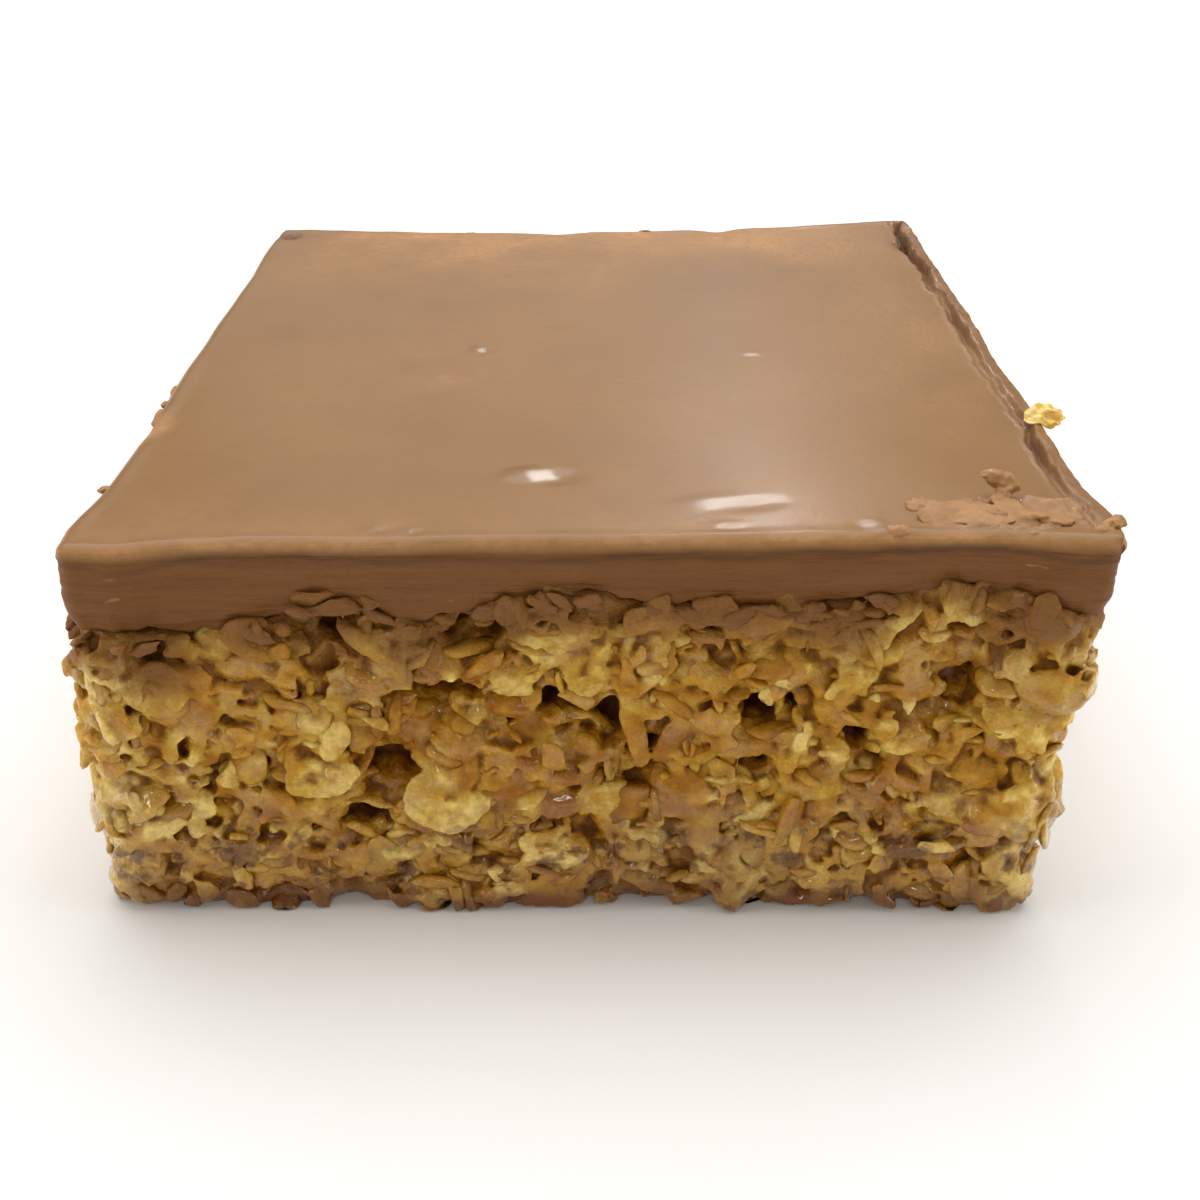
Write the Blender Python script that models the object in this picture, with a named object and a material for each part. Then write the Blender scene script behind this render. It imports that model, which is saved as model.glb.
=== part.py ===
"""Chocolate-topped oat bar, cut by hand from a tray.

A craggy base of rolled oats bound with syrup carries a thick layer of milk chocolate. Metres, +Z up,
front face towards -Y, origin under the middle of the bar on the surface it rests on.
"""

import math
import random

import bmesh
import bpy
from mathutils import Matrix, Vector, noise

# Driving dimensions of the cut bar
BAR_WIDTH = 0.0680
BAR_DEPTH = 0.0784
HEIGHT_LEFT = 0.0299
HEIGHT_RIGHT = 0.0312
OAT_HEIGHT_LEFT = 0.0235
OAT_HEIGHT_RIGHT = 0.0258
CORNER_RADIUS = 0.0016
KNIFE_LEAN = 0.0012
BACK_BOW = 0.0018
BACK_SAG = 0.0004
LAYER_GAP = 0.0003
BED_INSETS = (0.0015, 0.0040)

# Mesh density of the two lofted blocks
SIDES = 144
OAT_LEVELS = 12

# How far the two front corners stand out (+) or are torn back (-) at each height
LEFT_CORNER = (
    (0.0000, 0.0004),
    (0.0060, 0.0006),
    (0.0083, 0.0012),
    (0.0112, 0.0007),
    (0.0151, 0.0018),
    (0.0176, 0.0010),
    (0.0200, 0.0014),
    (0.0231, 0.0012),
    (0.0276, 0.0009),
    (0.0310, -0.0002),
)
RIGHT_CORNER = (
    (0.0000, 0.0003),
    (0.0033, -0.0003),
    (0.0055, -0.0004),
    (0.0087, 0.0014),
    (0.0108, 0.0006),
    (0.0138, -0.0009),
    (0.0172, 0.0010),
    (0.0204, 0.0015),
    (0.0235, 0.0000),
    (0.0258, 0.0009),
    (0.0281, 0.0010),
    (0.0310, 0.0006),
)
CORNER_REACH = 0.007

# How far the syrup's foot creeps out (+) under the front face, or stays back (-)
FRONT_FOOT = (
    (-0.0340, 0.0004),
    (-0.0305, -0.0007),
    (-0.0255, 0.0010),
    (-0.0190, 0.0012),
    (-0.0166, -0.0001),
    (-0.0120, 0.0012),
    (-0.0060, 0.0011),
    (0.0010, 0.0002),
    (0.0130, -0.0001),
    (0.0260, -0.0001),
    (0.0325, 0.0009),
)
FOOT_HEIGHT = 0.0035

# Height of the chocolate's lower edge over the mean line, along the front face
FRONT_SEAM = (
    (-0.0345, -0.0002),
    (-0.0245, -0.0005),
    (-0.0172, 0.0016),
    (-0.0107, 0.0000),
    (-0.0020, 0.0017),
    (0.0073, 0.0003),
    (0.0172, 0.0002),
    (0.0237, 0.0015),
    (0.0304, 0.0006),
    (0.0345, -0.0015),
)

# Pits torn into the front face: x, z, radius, depth
FRONT_PITS = (
    (-0.0109, 0.0180, 0.0017, 0.0032),
    (-0.0137, 0.0117, 0.0021, 0.0034),
    (-0.0081, 0.0228, 0.0015, 0.0026),
    (0.0003, 0.0158, 0.0019, 0.0028),
    (0.0115, 0.0155, 0.0016, 0.0034),
    (0.0144, 0.0177, 0.0015, 0.0030),
    (0.0257, 0.0184, 0.0022, 0.0030),
    (0.0042, 0.0116, 0.0018, 0.0032),
    (-0.0255, 0.0226, 0.0017, 0.0022),
    (-0.0181, 0.0228, 0.0019, 0.0026),
    (0.0254, 0.0092, 0.0016, 0.0026),
    (-0.0180, 0.0060, 0.0020, 0.0018),
    (0.0020, 0.0075, 0.0020, 0.0018),
)

# Flakes that stand out on the front face: x, z, length, width, turn on the face, lean out of it
FRONT_FLAKES = (
    (-0.0078, 0.0198, 0.0080, 0.0044, 4, 70),
    (0.0004, 0.0134, 0.0052, 0.0038, -20, 25),
    (-0.0186, 0.0108, 0.0066, 0.0040, 5, 40),
    (-0.0176, 0.0085, 0.0074, 0.0040, 8, 65),
    (-0.0110, 0.0088, 0.0066, 0.0044, -15, 20),
    (-0.0080, 0.0120, 0.0062, 0.0040, 3, 65),
    (-0.0282, 0.0192, 0.0050, 0.0042, 25, 15),
    (-0.0239, 0.0148, 0.0048, 0.0040, 0, 20),
    (-0.0222, 0.0098, 0.0062, 0.0026, 68, 35),
    (-0.0318, 0.0096, 0.0048, 0.0036, -30, 30),
    (0.0302, 0.0098, 0.0054, 0.0048, 10, 20),
    (0.0334, 0.0186, 0.0066, 0.0042, 80, 20),
    (0.0140, 0.0072, 0.0044, 0.0036, 30, 25),
    (0.0206, 0.0146, 0.0072, 0.0044, 12, 35),
    (0.0275, 0.0155, 0.0064, 0.0042, -8, 45),
    (0.0115, 0.0205, 0.0066, 0.0044, 30, 30),
    (0.0192, 0.0226, 0.0056, 0.0036, 60, 30),
    (0.0040, 0.0210, 0.0064, 0.0040, 75, 30),
)

# Size range of a rolled oat flake with its coat of syrup
FLAKE_LENGTH = (0.0046, 0.0074)
FLAKE_SHAPE = (0.58, 0.76)
FLAKE_THICKNESS = (0.0010, 0.0014)
FLAKE_SPACING = 0.0046
FLAKE_COUNT = 92
FLAKE_PROUD = 0.0009
FLAKE_FLOOR_GAP = 0.0005
SEAM_CLEARANCE = 0.0004

# Rim, lip and dip of the chocolate, and the ridge that the knife pushed up along its right edge
RIM_RADIUS = 0.0010
LIP_HEIGHT = 0.00025
FRONT_DIP = 0.00035
RIDGE_INSET = 0.0004
RIDGE_HALF_WIDTH = 0.0010
RIDGE_HEIGHT = 0.0008
RIDGE_SIDES = 6
RIDGE_STEPS = 30

# Scraps of chocolate stuck on the top: x, y, length, width, thickness, turn, lean
SCRAPS = (
    (0.0238, -0.0352, 0.0066, 0.0052, 0.0008, 20, 0),
    (0.0288, -0.0358, 0.0080, 0.0044, 0.0009, -8, 3),
    (0.0273, -0.0322, 0.0030, 0.0013, 0.0026, 70, 25),
    (0.0330, -0.0377, 0.0030, 0.0026, 0.0012, 30, 0),
    (-0.0332, -0.0152, 0.0028, 0.0015, 0.0011, 80, 10),
    (-0.0334, -0.0296, 0.0020, 0.0013, 0.0012, 60, 10),
    (-0.0036, -0.0290, 0.0046, 0.0026, 0.0010, 10, 0),
)
SCRAP_SIDES = 10
SCRAP_RAGGEDNESS = 0.24
STRAY_FLAKE = (0.0338, -0.0194, 0.0034, 0.0022, 0.0009, 15, 18)
FLAKE_SIDES = 8
FLAKE_RAGGEDNESS = 0.11

SEED = 29


def smooth_step(share):
    """Eases a share from 0 to 1 in and out."""
    share = min(max(share, 0.0), 1.0)
    return share * share * (3 - 2 * share)


def read_profile(profile, at):
    """Reads a list of (place, value) pairs at one place, with smooth turns between them."""
    if at <= profile[0][0]:
        return profile[0][1]
    for (start, low), (end, high) in zip(profile, profile[1:]):
        if at <= end:
            return low + (high - low) * smooth_step((at - start) / (end - start))
    return profile[-1][1]


def tilted(left, right, x):
    """A height that changes evenly across the bar's width."""
    return left + (right - left) * (x / BAR_WIDTH + 0.5)


def top_height(x):
    """Height of the chocolate's flat top."""
    return tilted(HEIGHT_LEFT, HEIGHT_RIGHT, x)


def seam_height(x, y):
    """Height at which the oats end and the chocolate starts, seen at the cut faces."""
    mean = tilted(OAT_HEIGHT_LEFT, OAT_HEIGHT_RIGHT, x)
    waves = 0.0010 * noise.noise(Vector((x, y, 0.011)) * 160)
    at_front = smooth_step((-y - BAR_DEPTH / 2 + 0.006) / 0.005)
    return mean + waves * (1 - at_front) + read_profile(FRONT_SEAM, x) * at_front


def outline(count):
    """Evenly spaced points on the bar's rounded rectangle, as (point, outward normal), from the front left."""
    half_x = BAR_WIDTH / 2 - CORNER_RADIUS
    half_y = BAR_DEPTH / 2 - CORNER_RADIUS
    quarter = CORNER_RADIUS * math.pi / 2
    # Each stretch is a straight side and the corner after it: start, direction, length, corner centre
    stretches = (
        (Vector((-half_x, -BAR_DEPTH / 2)), Vector((1, 0)), 2 * half_x, Vector((half_x, -half_y))),
        (Vector((BAR_WIDTH / 2, -half_y)), Vector((0, 1)), 2 * half_y, Vector((half_x, half_y))),
        (Vector((half_x, BAR_DEPTH / 2)), Vector((-1, 0)), 2 * half_x, Vector((-half_x, half_y))),
        (Vector((-BAR_WIDTH / 2, half_y)), Vector((0, -1)), 2 * half_y, Vector((-half_x, -half_y))),
    )
    total = sum(length + quarter for _, _, length, _ in stretches)
    points = []
    for step in range(count):
        along = total * step / count
        for start, direction, length, centre in stretches:
            outward = Vector((direction.y, -direction.x))
            if along <= length:
                points.append((start + direction * along, outward))
                break
            along -= length
            if along <= quarter:
                turn = Matrix.Rotation(along / CORNER_RADIUS, 2)
                points.append((centre + turn @ outward * CORNER_RADIUS, turn @ outward))
                break
            along -= quarter
    return points


def drawn_in(point, inset):
    """The same place on the outline of a smaller bar, drawn in evenly from all four sides."""
    return Vector((point.x * (1 - 2 * inset / BAR_WIDTH), point.y * (1 - 2 * inset / BAR_DEPTH)))


def corner_nearness(point):
    """1 at the two front corners, falling to 0 along both faces beside them."""
    near_front = 1 - smooth_step((point.y + BAR_DEPTH / 2 - CORNER_RADIUS) / CORNER_REACH)
    near_side = 1 - smooth_step((BAR_WIDTH / 2 - abs(point.x) - CORNER_RADIUS) / CORNER_REACH)
    return near_front * near_side


def corner_bulge(point, z):
    """How far the knife left the two front corners proud or torn back at this height."""
    profile = LEFT_CORNER if point.x < 0 else RIGHT_CORNER
    return read_profile(profile, z) * corner_nearness(point)


def back_bow(point):
    """How far the back cut bows in at this place, for a point on the back face."""
    at_back = smooth_step((point.y - BAR_DEPTH / 2 + 0.004) / 0.003)
    return BACK_BOW * at_back * math.cos(math.pi * point.x / BAR_WIDTH)


def pit_depth(point, z):
    """How deep the front face is torn in at this place."""
    if point.y > -BAR_DEPTH / 2 + CORNER_RADIUS:
        return 0.0
    deepest = 0.0
    for x, pit_z, radius, depth in FRONT_PITS:
        away = math.hypot(point.x - x, (z - pit_z) * 1.3) / radius
        deepest = max(deepest, depth * (1 - smooth_step(away / 1.5)))
    return deepest


def crag(point, z):
    """Relief of the torn oat face: broad swells and flake-sized lumps, flatter than they are wide."""
    place = Vector((point.x, point.y, z * 1.8))
    swell = 0.0007 * noise.noise(place * 90)
    lumps = 0.0009 * noise.noise(place * 260 + Vector((5, 0, 0)))
    return swell + lumps


def lean(x, z):
    """The knife leaned, so both sides drift to the left towards the foot."""
    return x - KNIFE_LEAN * (1 - z / HEIGHT_RIGHT)


def foot_creep(point, z):
    """How far the foot of the front face stands out."""
    at_front = smooth_step((-point.y - BAR_DEPTH / 2 + 0.003) / 0.002)
    return read_profile(FRONT_FOOT, point.x) * at_front * (1 - smooth_step(z / FOOT_HEIGHT))


def oat_wall(point, outward, z):
    """A place on the oat base's wall."""
    chamfer = 0.0003 * (1 - smooth_step(z / 0.0012))
    relief = crag(point, z) * (1 - 0.8 * corner_nearness(point))
    out = relief + corner_bulge(point, z) + foot_creep(point, z) - pit_depth(point, z)
    place = point + outward * (out - chamfer - back_bow(point))
    return Vector((lean(place.x, z), place.y, z))


def lofted_block(name, sides, levels, place):
    """A closed block of rings: a capped circle extruded level by level, then each vertex put in its place."""
    mesh = bmesh.new()
    bmesh.ops.create_circle(mesh, cap_ends=True, segments=sides, radius=1.0)
    cap = [*mesh.verts, *mesh.edges, *mesh.faces]
    for _ in range(levels):
        cap = bmesh.ops.extrude_face_region(mesh, geom=cap)["geom"]
        risen = [item for item in cap if isinstance(item, bmesh.types.BMVert)]
        bmesh.ops.translate(mesh, verts=risen, vec=(0, 0, 1))
    for vertex in mesh.verts:
        angle = math.atan2(vertex.co.y, vertex.co.x)
        side = round(angle / (2 * math.pi) * sides) % sides
        vertex.co = place(side, round(vertex.co.z))
    bmesh.ops.recalc_face_normals(mesh, faces=mesh.faces)
    return finished(name, mesh)


def finished(name, mesh):
    """Turns a bmesh into a named object in the scene."""
    data = bpy.data.meshes.new(name)
    mesh.to_mesh(data)
    mesh.free()
    item = bpy.data.objects.new(name, data)
    bpy.context.scene.collection.objects.link(item)
    return item


def bed_place(point, ring, lift):
    """A place on the bed between the two layers: the seam's height at the first ring in, even at the second."""
    inner = drawn_in(point, BED_INSETS[ring])
    flat = tilted(OAT_HEIGHT_LEFT, OAT_HEIGHT_RIGHT, inner.x)
    z = (seam_height(point.x, point.y), flat)[ring] + lift
    return Vector((lean(inner.x, z), inner.y, z))


def oat_core():
    """The oat base without its fused flakes: a wall of relief, a flat foot and a bed for the chocolate."""
    ring = outline(SIDES)

    def place(side, level):
        point, outward = ring[side]
        if level > OAT_LEVELS:
            return bed_place(point, level - OAT_LEVELS - 1, 0)
        return oat_wall(point, outward, level / OAT_LEVELS * seam_height(point.x, point.y))

    return lofted_block("oat_base", SIDES, OAT_LEVELS + len(BED_INSETS), place)


def chocolate_wall_out(point, z):
    """How far the chocolate's cut wall stands out: a slight swell, and the two front corners."""
    swell = 0.0003 * noise.noise(Vector((point.x, point.y, z * 0.4)) * 110)
    return 0.0001 + swell + corner_bulge(point, z) - back_bow(point)


def surface_relief(point, inset):
    """Height of the chocolate's top over its mean plane, at a distance in from the edge."""
    front = smooth_step((-point.y - BAR_DEPTH / 2 + 0.012) / 0.008)
    lip = LIP_HEIGHT * (1 - smooth_step((inset - 0.0008) / 0.0012))
    dip = FRONT_DIP * front * math.sin(math.pi * min(inset / 0.008, 1.0))
    wave = 0.00018 * noise.noise(Vector((point.x, point.y, 0)) * 95)
    notch = 0.0
    if point.y > BAR_DEPTH / 2 - 0.004:
        for x in (-0.0035, 0.0135):
            notch += 0.0004 * math.exp(-(((point.x - x) / 0.0025) ** 2))
    across = math.cos(math.pi * point.x / BAR_WIDTH)
    sag = BACK_SAG * across * smooth_step((point.y - 0.010) / (BAR_DEPTH / 2 - 0.010))
    return lip - dip + wave - notch - sag


def chocolate_slab():
    """The chocolate layer without its scraps: bed, cut wall, rounded rim and a top with a lip and a dip."""
    ring = outline(SIDES)
    wall_shares = (0.0, 0.35, 0.75)
    rim_angles = (20, 55, 90)
    top_insets = (0.0022, 0.0050, 0.0100)

    def place(side, level):
        point, outward = ring[side]
        seam = seam_height(point.x, point.y) + LAYER_GAP
        top = top_height(point.x)
        if level < len(BED_INSETS):
            return bed_place(point, len(BED_INSETS) - 1 - level, LAYER_GAP)
        level -= len(BED_INSETS)
        if level < len(wall_shares):
            z = seam + (top - RIM_RADIUS - seam) * wall_shares[level]
            inner = point + outward * chocolate_wall_out(point, z)
            return Vector((lean(inner.x, z), inner.y, z))
        level -= len(wall_shares)
        if level < len(rim_angles):
            angle = math.radians(rim_angles[level])
            out = chocolate_wall_out(point, top) - RIM_RADIUS * (1 - math.cos(angle))
            inner = point + outward * out
            z = top - RIM_RADIUS * (1 - math.sin(angle)) + surface_relief(point, 0) * math.sin(angle)
            return Vector((lean(inner.x, z), inner.y, z))
        inset = top_insets[level - len(rim_angles)]
        inner = drawn_in(point, inset)
        inner.y -= back_bow(point)
        z = top_height(inner.x)
        if inset < top_insets[-1]:
            z += surface_relief(inner, inset)
        return Vector((lean(inner.x, z), inner.y, z))

    levels = len(BED_INSETS) + len(wall_shares) + len(rim_angles) + len(top_insets) - 1
    return lofted_block("chocolate_layer", SIDES, levels, place)


def flake(rng, size, frame, sides=FLAKE_SIDES, raggedness=FLAKE_RAGGEDNESS):
    """A rolled oat flake: a flat oval with an uneven rim and a slight curl, put in place by its frame."""
    length, width, thickness = size
    mesh = bmesh.new()
    bmesh.ops.create_uvsphere(mesh, u_segments=sides, v_segments=3, radius=0.5)
    curl = rng.uniform(-0.16, 0.16)
    for vertex in mesh.verts:
        rim = 1 + rng.uniform(-raggedness, raggedness)
        across = vertex.co.x * 2
        vertex.co.x *= length * rim
        vertex.co.y *= width * rim
        vertex.co.z = vertex.co.z * thickness + curl * width * across * across
    bmesh.ops.transform(mesh, matrix=frame, verts=mesh.verts)
    return finished("scrap", mesh)


def face_frame(place, outward, turn, out_lean, rng):
    """A frame for a flake on a cut face: its flat side out at a lean of 0, its rim out at a lean of 90."""
    along = Vector((-outward.y, outward.x, 0))
    base = Matrix((along, outward.cross(along), outward)).transposed()
    spun = base @ Matrix.Rotation(math.radians(turn), 3, "Z")
    tipped = spun @ Matrix.Rotation(math.radians(out_lean), 3, "X")
    rolled = tipped @ Matrix.Rotation(math.radians(rng.uniform(-12, 12)), 3, "Y")
    return Matrix.Translation(place) @ rolled.to_4x4()


def wall_flake(rng, point, outward, z, size, turn, out_lean):
    """A flake half sunk in the oat wall, standing proud of it by about a millimetre."""
    _, width, thickness = size
    out3 = Vector((outward.x, outward.y, 0))
    reach = max(thickness / 2, width / 2 * math.sin(math.radians(out_lean)))
    centre = oat_wall(point, outward, z) - out3 * (reach - FLAKE_PROUD)
    made = flake(rng, size, face_frame(centre, out3, turn, out_lean, rng))
    for vertex in made.data.vertices:
        uneven = 0.0002 * vertex.index / len(made.data.vertices)
        ceiling = seam_height(vertex.co.x, vertex.co.y) - SEAM_CLEARANCE - uneven
        vertex.co.z = min(max(vertex.co.z, FLAKE_FLOOR_GAP + uneven), ceiling)
    return made


def wall_flakes(rng):
    """The largest flakes: the ones that stand out on the front, then more scattered evenly on every side."""
    made = []
    placed = []
    front = Vector((0, -1))
    for x, z, length, width, turn, out_lean in FRONT_FLAKES:
        point = Vector((x + KNIFE_LEAN / 2, -BAR_DEPTH / 2))
        size = (length, width, rng.uniform(*FLAKE_THICKNESS))
        made.append(wall_flake(rng, point, front, z, size, turn, out_lean))
        placed.append(oat_wall(point, front, z))
    ring = outline(4 * SIDES)
    while len(made) < FLAKE_COUNT:
        point, outward = rng.choice(ring)
        z = rng.uniform(0.0022, seam_height(point.x, point.y) - 0.0022)
        place = oat_wall(point, outward, z)
        in_pit = pit_depth(point, z) > 0.0006
        if in_pit or any((place - other).length < FLAKE_SPACING for other in placed):
            continue
        length = rng.uniform(*FLAKE_LENGTH)
        size = (length, length * rng.uniform(*FLAKE_SHAPE), rng.uniform(*FLAKE_THICKNESS))
        lying = rng.random() < 0.45
        turn = rng.gauss(0, 18) if lying else rng.uniform(-90, 90)
        out_lean = rng.uniform(50, 80) if lying else rng.uniform(10, 40)
        made.append(wall_flake(rng, point, outward, z, size, turn, out_lean))
        placed.append(place)
    return made


def top_scrap(rng, row, **shape):
    """A scrap lying on the chocolate, sunk in it by a third of its thickness."""
    x, y, *size, turn, out_lean = row
    z = top_height(x) + size[2] / 6
    frame = Matrix.Translation((x, y, z)) @ Matrix.Rotation(math.radians(turn), 4, "Z")
    frame = frame @ Matrix.Rotation(math.radians(out_lean), 4, "Y")
    return flake(rng, size, frame, **shape)


def knife_ridge(rng):
    """The ridge of chocolate that the knife pushed up along the right edge, as a tube of uneven height."""
    first = -BAR_DEPTH / 2 + 0.0018
    last = BAR_DEPTH / 2 - 0.0014
    height = [RIDGE_HEIGHT * rng.uniform(0.65, 1.2) for _ in range(RIDGE_STEPS + 1)]
    width = [RIDGE_HALF_WIDTH * rng.uniform(0.8, 1.15) for _ in range(RIDGE_STEPS + 1)]

    def place(side, step):
        angle = 2 * math.pi * side / RIDGE_SIDES
        x = BAR_WIDTH / 2 - RIDGE_INSET + math.cos(angle) * width[step]
        y = first + (last - first) * step / RIDGE_STEPS
        return Vector((x, y, top_height(x) + math.sin(angle) * height[step]))

    return lofted_block("scrap", RIDGE_SIDES, RIDGE_STEPS, place)


def drop_pockets(data):
    """Removes the closed pockets left between a flake and the wall: all but the largest sewn surface."""
    mesh = bmesh.new()
    mesh.from_mesh(data)
    bmesh.ops.triangulate(mesh, faces=mesh.faces)
    unseen = set(mesh.faces)
    surfaces = []
    while unseen:
        waiting = [unseen.pop()]
        surface = set(waiting)
        while waiting:
            sewn = [edge for edge in waiting.pop().edges if len(edge.link_faces) == 2]
            for edge in sewn:
                linked = unseen.intersection(edge.link_faces)
                unseen -= linked
                surface |= linked
                waiting.extend(linked)
        surfaces.append(surface)
    surfaces.sort(key=len)
    pockets = [face for surface in surfaces[:-1] for face in surface]
    bmesh.ops.delete(mesh, geom=pockets, context="FACES")
    mesh.to_mesh(data)
    mesh.free()


def fused(base, pieces):
    """Joins pieces to the base with one Boolean union, then clears the pieces away."""
    group = bpy.data.collections.new(base.name + "_pieces")
    bpy.context.scene.collection.children.link(group)
    for piece in pieces:
        group.objects.link(piece)
    joined = base.modifiers.new("join", "BOOLEAN")
    joined.operation = "UNION"
    joined.operand_type = "COLLECTION"
    joined.collection = group
    joined.solver = "EXACT"
    bpy.context.view_layer.update()
    graph = bpy.context.evaluated_depsgraph_get()
    base.data = bpy.data.meshes.new_from_object(base.evaluated_get(graph), depsgraph=graph)
    base.modifiers.clear()
    drop_pockets(base.data)
    for piece in pieces:
        bpy.data.objects.remove(piece)
    bpy.data.collections.remove(group)


def coloured(item, name, colour, roughness):
    """Gives an object its own plain material."""
    material = bpy.data.materials.new(name)
    material.use_nodes = True
    shader = material.node_tree.nodes["Principled BSDF"]
    shader.inputs["Base Color"].default_value = (*colour, 1.0)
    shader.inputs["Roughness"].default_value = roughness
    shader.inputs["Metallic"].default_value = 0.0
    item.data.materials.clear()
    item.data.materials.append(material)
    item.data.shade_flat()


def centre_on_foot(items):
    """Moves all the solids together so that the origin is under the middle of the bar, on its foot."""
    corners = [vertex.co for item in items for vertex in item.data.vertices]
    middle_x = (min(co.x for co in corners) + max(co.x for co in corners)) / 2
    middle_y = (min(co.y for co in corners) + max(co.y for co in corners)) / 2
    lowest = min(co.z for co in corners)
    for item in items:
        item.data.transform(Matrix.Translation((-middle_x, -middle_y, -lowest)))


def main():
    """Builds the bar."""
    for item in list(bpy.data.objects):
        bpy.data.objects.remove(item)
    rng = random.Random(SEED)
    oats = oat_core()
    fused(oats, wall_flakes(rng))
    chocolate = chocolate_slab()
    scraps = [top_scrap(rng, row, sides=SCRAP_SIDES, raggedness=SCRAP_RAGGEDNESS) for row in SCRAPS]
    fused(chocolate, [knife_ridge(rng), *scraps, top_scrap(rng, STRAY_FLAKE)])
    coloured(oats, "baked_oats", (0.36, 0.20, 0.055), 0.45)
    coloured(chocolate, "milk_chocolate", (0.19, 0.085, 0.035), 0.35)
    centre_on_foot([oats, chocolate])


main()
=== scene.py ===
"""Looks of a chocolate-topped oat bar: syrup-bound rolled oats under a layer of milk chocolate.

The baked crumb is four remeshed blocks of flakes and syrup, with crisp flakes standing out of their cut walls.
The chocolate is a draped grid with a rounded rim, knife marks, dents and a ridge along its right edge.
Metres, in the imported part's own frame, front face towards -Y.
"""

from __future__ import annotations

import logging
import math
import random
from dataclasses import dataclass, field
from enum import Enum

import bmesh
import bpy
import numpy as np
from mathutils import Matrix, Vector, noise
from mathutils.bvhtree import BVHTree


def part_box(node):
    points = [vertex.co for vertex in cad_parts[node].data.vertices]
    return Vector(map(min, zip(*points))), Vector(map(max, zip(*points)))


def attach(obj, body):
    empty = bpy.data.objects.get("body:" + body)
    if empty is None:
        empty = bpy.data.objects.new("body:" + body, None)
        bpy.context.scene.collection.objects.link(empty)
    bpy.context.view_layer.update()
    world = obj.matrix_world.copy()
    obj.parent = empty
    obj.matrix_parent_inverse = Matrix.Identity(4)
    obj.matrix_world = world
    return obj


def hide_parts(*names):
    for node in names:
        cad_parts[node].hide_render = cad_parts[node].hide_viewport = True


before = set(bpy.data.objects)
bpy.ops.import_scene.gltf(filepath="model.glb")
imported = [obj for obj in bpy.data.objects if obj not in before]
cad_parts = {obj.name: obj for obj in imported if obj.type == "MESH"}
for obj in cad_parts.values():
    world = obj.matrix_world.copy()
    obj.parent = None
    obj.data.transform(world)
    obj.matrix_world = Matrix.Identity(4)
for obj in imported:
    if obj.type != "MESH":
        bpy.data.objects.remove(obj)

LOG = logging.getLogger("oat_bar")
MM = 0.001
BODY = "root"
OATS = "oat_base"
CHOCOLATE = "chocolate_layer"
# The Hollow mask darkens the oats in their hollows: syrup and painted shade.
OAT_MASKS = ("Tone", "Hollow", "Stain", "Scorch", "Damp")
OAT_SEED = 11
SCRAP_SEED = 5
ROUND_LIGHT = 0.1


def eased(share: float) -> float:
    """Eases a share from 0 to 1 in and out."""
    share = min(max(share, 0.0), 1.0)
    return share * share * (3 - 2 * share)


def eased_all(share: np.ndarray) -> np.ndarray:
    """Eases an array of shares from 0 to 1 in and out."""
    share = np.clip(share, 0.0, 1.0)
    return share * share * (3 - 2 * share)


def scaled(pair: tuple[float, float]) -> tuple[float, float]:
    """A pair of millimetres in metres."""
    return pair[0] * MM, pair[1] * MM


def hill(offset: float, reach: float) -> float:
    """A bell curve of height 1 that has died away at about twice its reach."""
    return math.exp(-((offset / reach) ** 2))


def ripple(place: Vector, per_metre: float, seed: float = 0.0) -> float:
    """Smooth noise of about -1 to 1 at a place, with so many swells in a metre."""
    return noise.noise(place * per_metre + Vector((seed, seed * 0.7, seed * 1.3)))


def points_of(mesh: bpy.types.Mesh) -> np.ndarray:
    """The places of a mesh's vertices.

    Args:
        mesh: the mesh.

    Returns:
        One row a vertex.
    """
    places = np.zeros(len(mesh.vertices) * 3)
    mesh.vertices.foreach_get("co", places)
    return places.reshape(-1, 3)


def set_points(mesh: bpy.types.Mesh, places: np.ndarray) -> None:
    """Puts a mesh's vertices at these places."""
    mesh.vertices.foreach_set("co", places.astype(np.float32).ravel())
    mesh.update()


def normals_of(mesh: bpy.types.Mesh) -> np.ndarray:
    """The normals of a mesh's vertices.

    Args:
        mesh: the mesh.

    Returns:
        One row a vertex.
    """
    normals = np.zeros(len(mesh.vertices) * 3, np.float32)
    mesh.vertex_normals.foreach_get("vector", normals)
    return normals.reshape(-1, 3)


def set_mask(mesh: bpy.types.Mesh, name: str, values: np.ndarray) -> None:
    """Stores one number a vertex on a mesh, for its material to read."""
    layer = mesh.attributes.get(name) or mesh.attributes.new(name, "FLOAT", "POINT")
    layer.data.foreach_set("value", values.astype(np.float32))


def edges_of(mesh: bpy.types.Mesh) -> np.ndarray:
    """The numbers of the vertices that a mesh's edges join.

    Args:
        mesh: the mesh.

    Returns:
        One row an edge, with its two vertices.
    """
    ends = np.zeros(len(mesh.edges) * 2, np.int64)
    mesh.edges.foreach_get("vertices", ends)
    return ends.reshape(-1, 2)


def spread_out(mesh: bpy.types.Mesh, values: np.ndarray, rounds: int) -> np.ndarray:
    """Evens out values over a mesh, each vertex with its neighbours.

    Args:
        mesh: the mesh.
        values: one row a vertex.
        rounds: how many times they are evened out.

    Returns:
        The evened values.
    """
    ends = edges_of(mesh)
    first, second = ends.T
    count = np.maximum(np.bincount(ends.ravel(), minlength=len(values)), 1)
    even = values.astype(float)
    for _ in range(rounds):
        for axis in range(even.shape[1]):
            column = even[:, axis].copy()
            total = np.bincount(first, column[second], len(column)) + np.bincount(second, column[first], len(column))
            even[:, axis] = 0.4 * column + 0.6 * total / count
    return even


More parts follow.
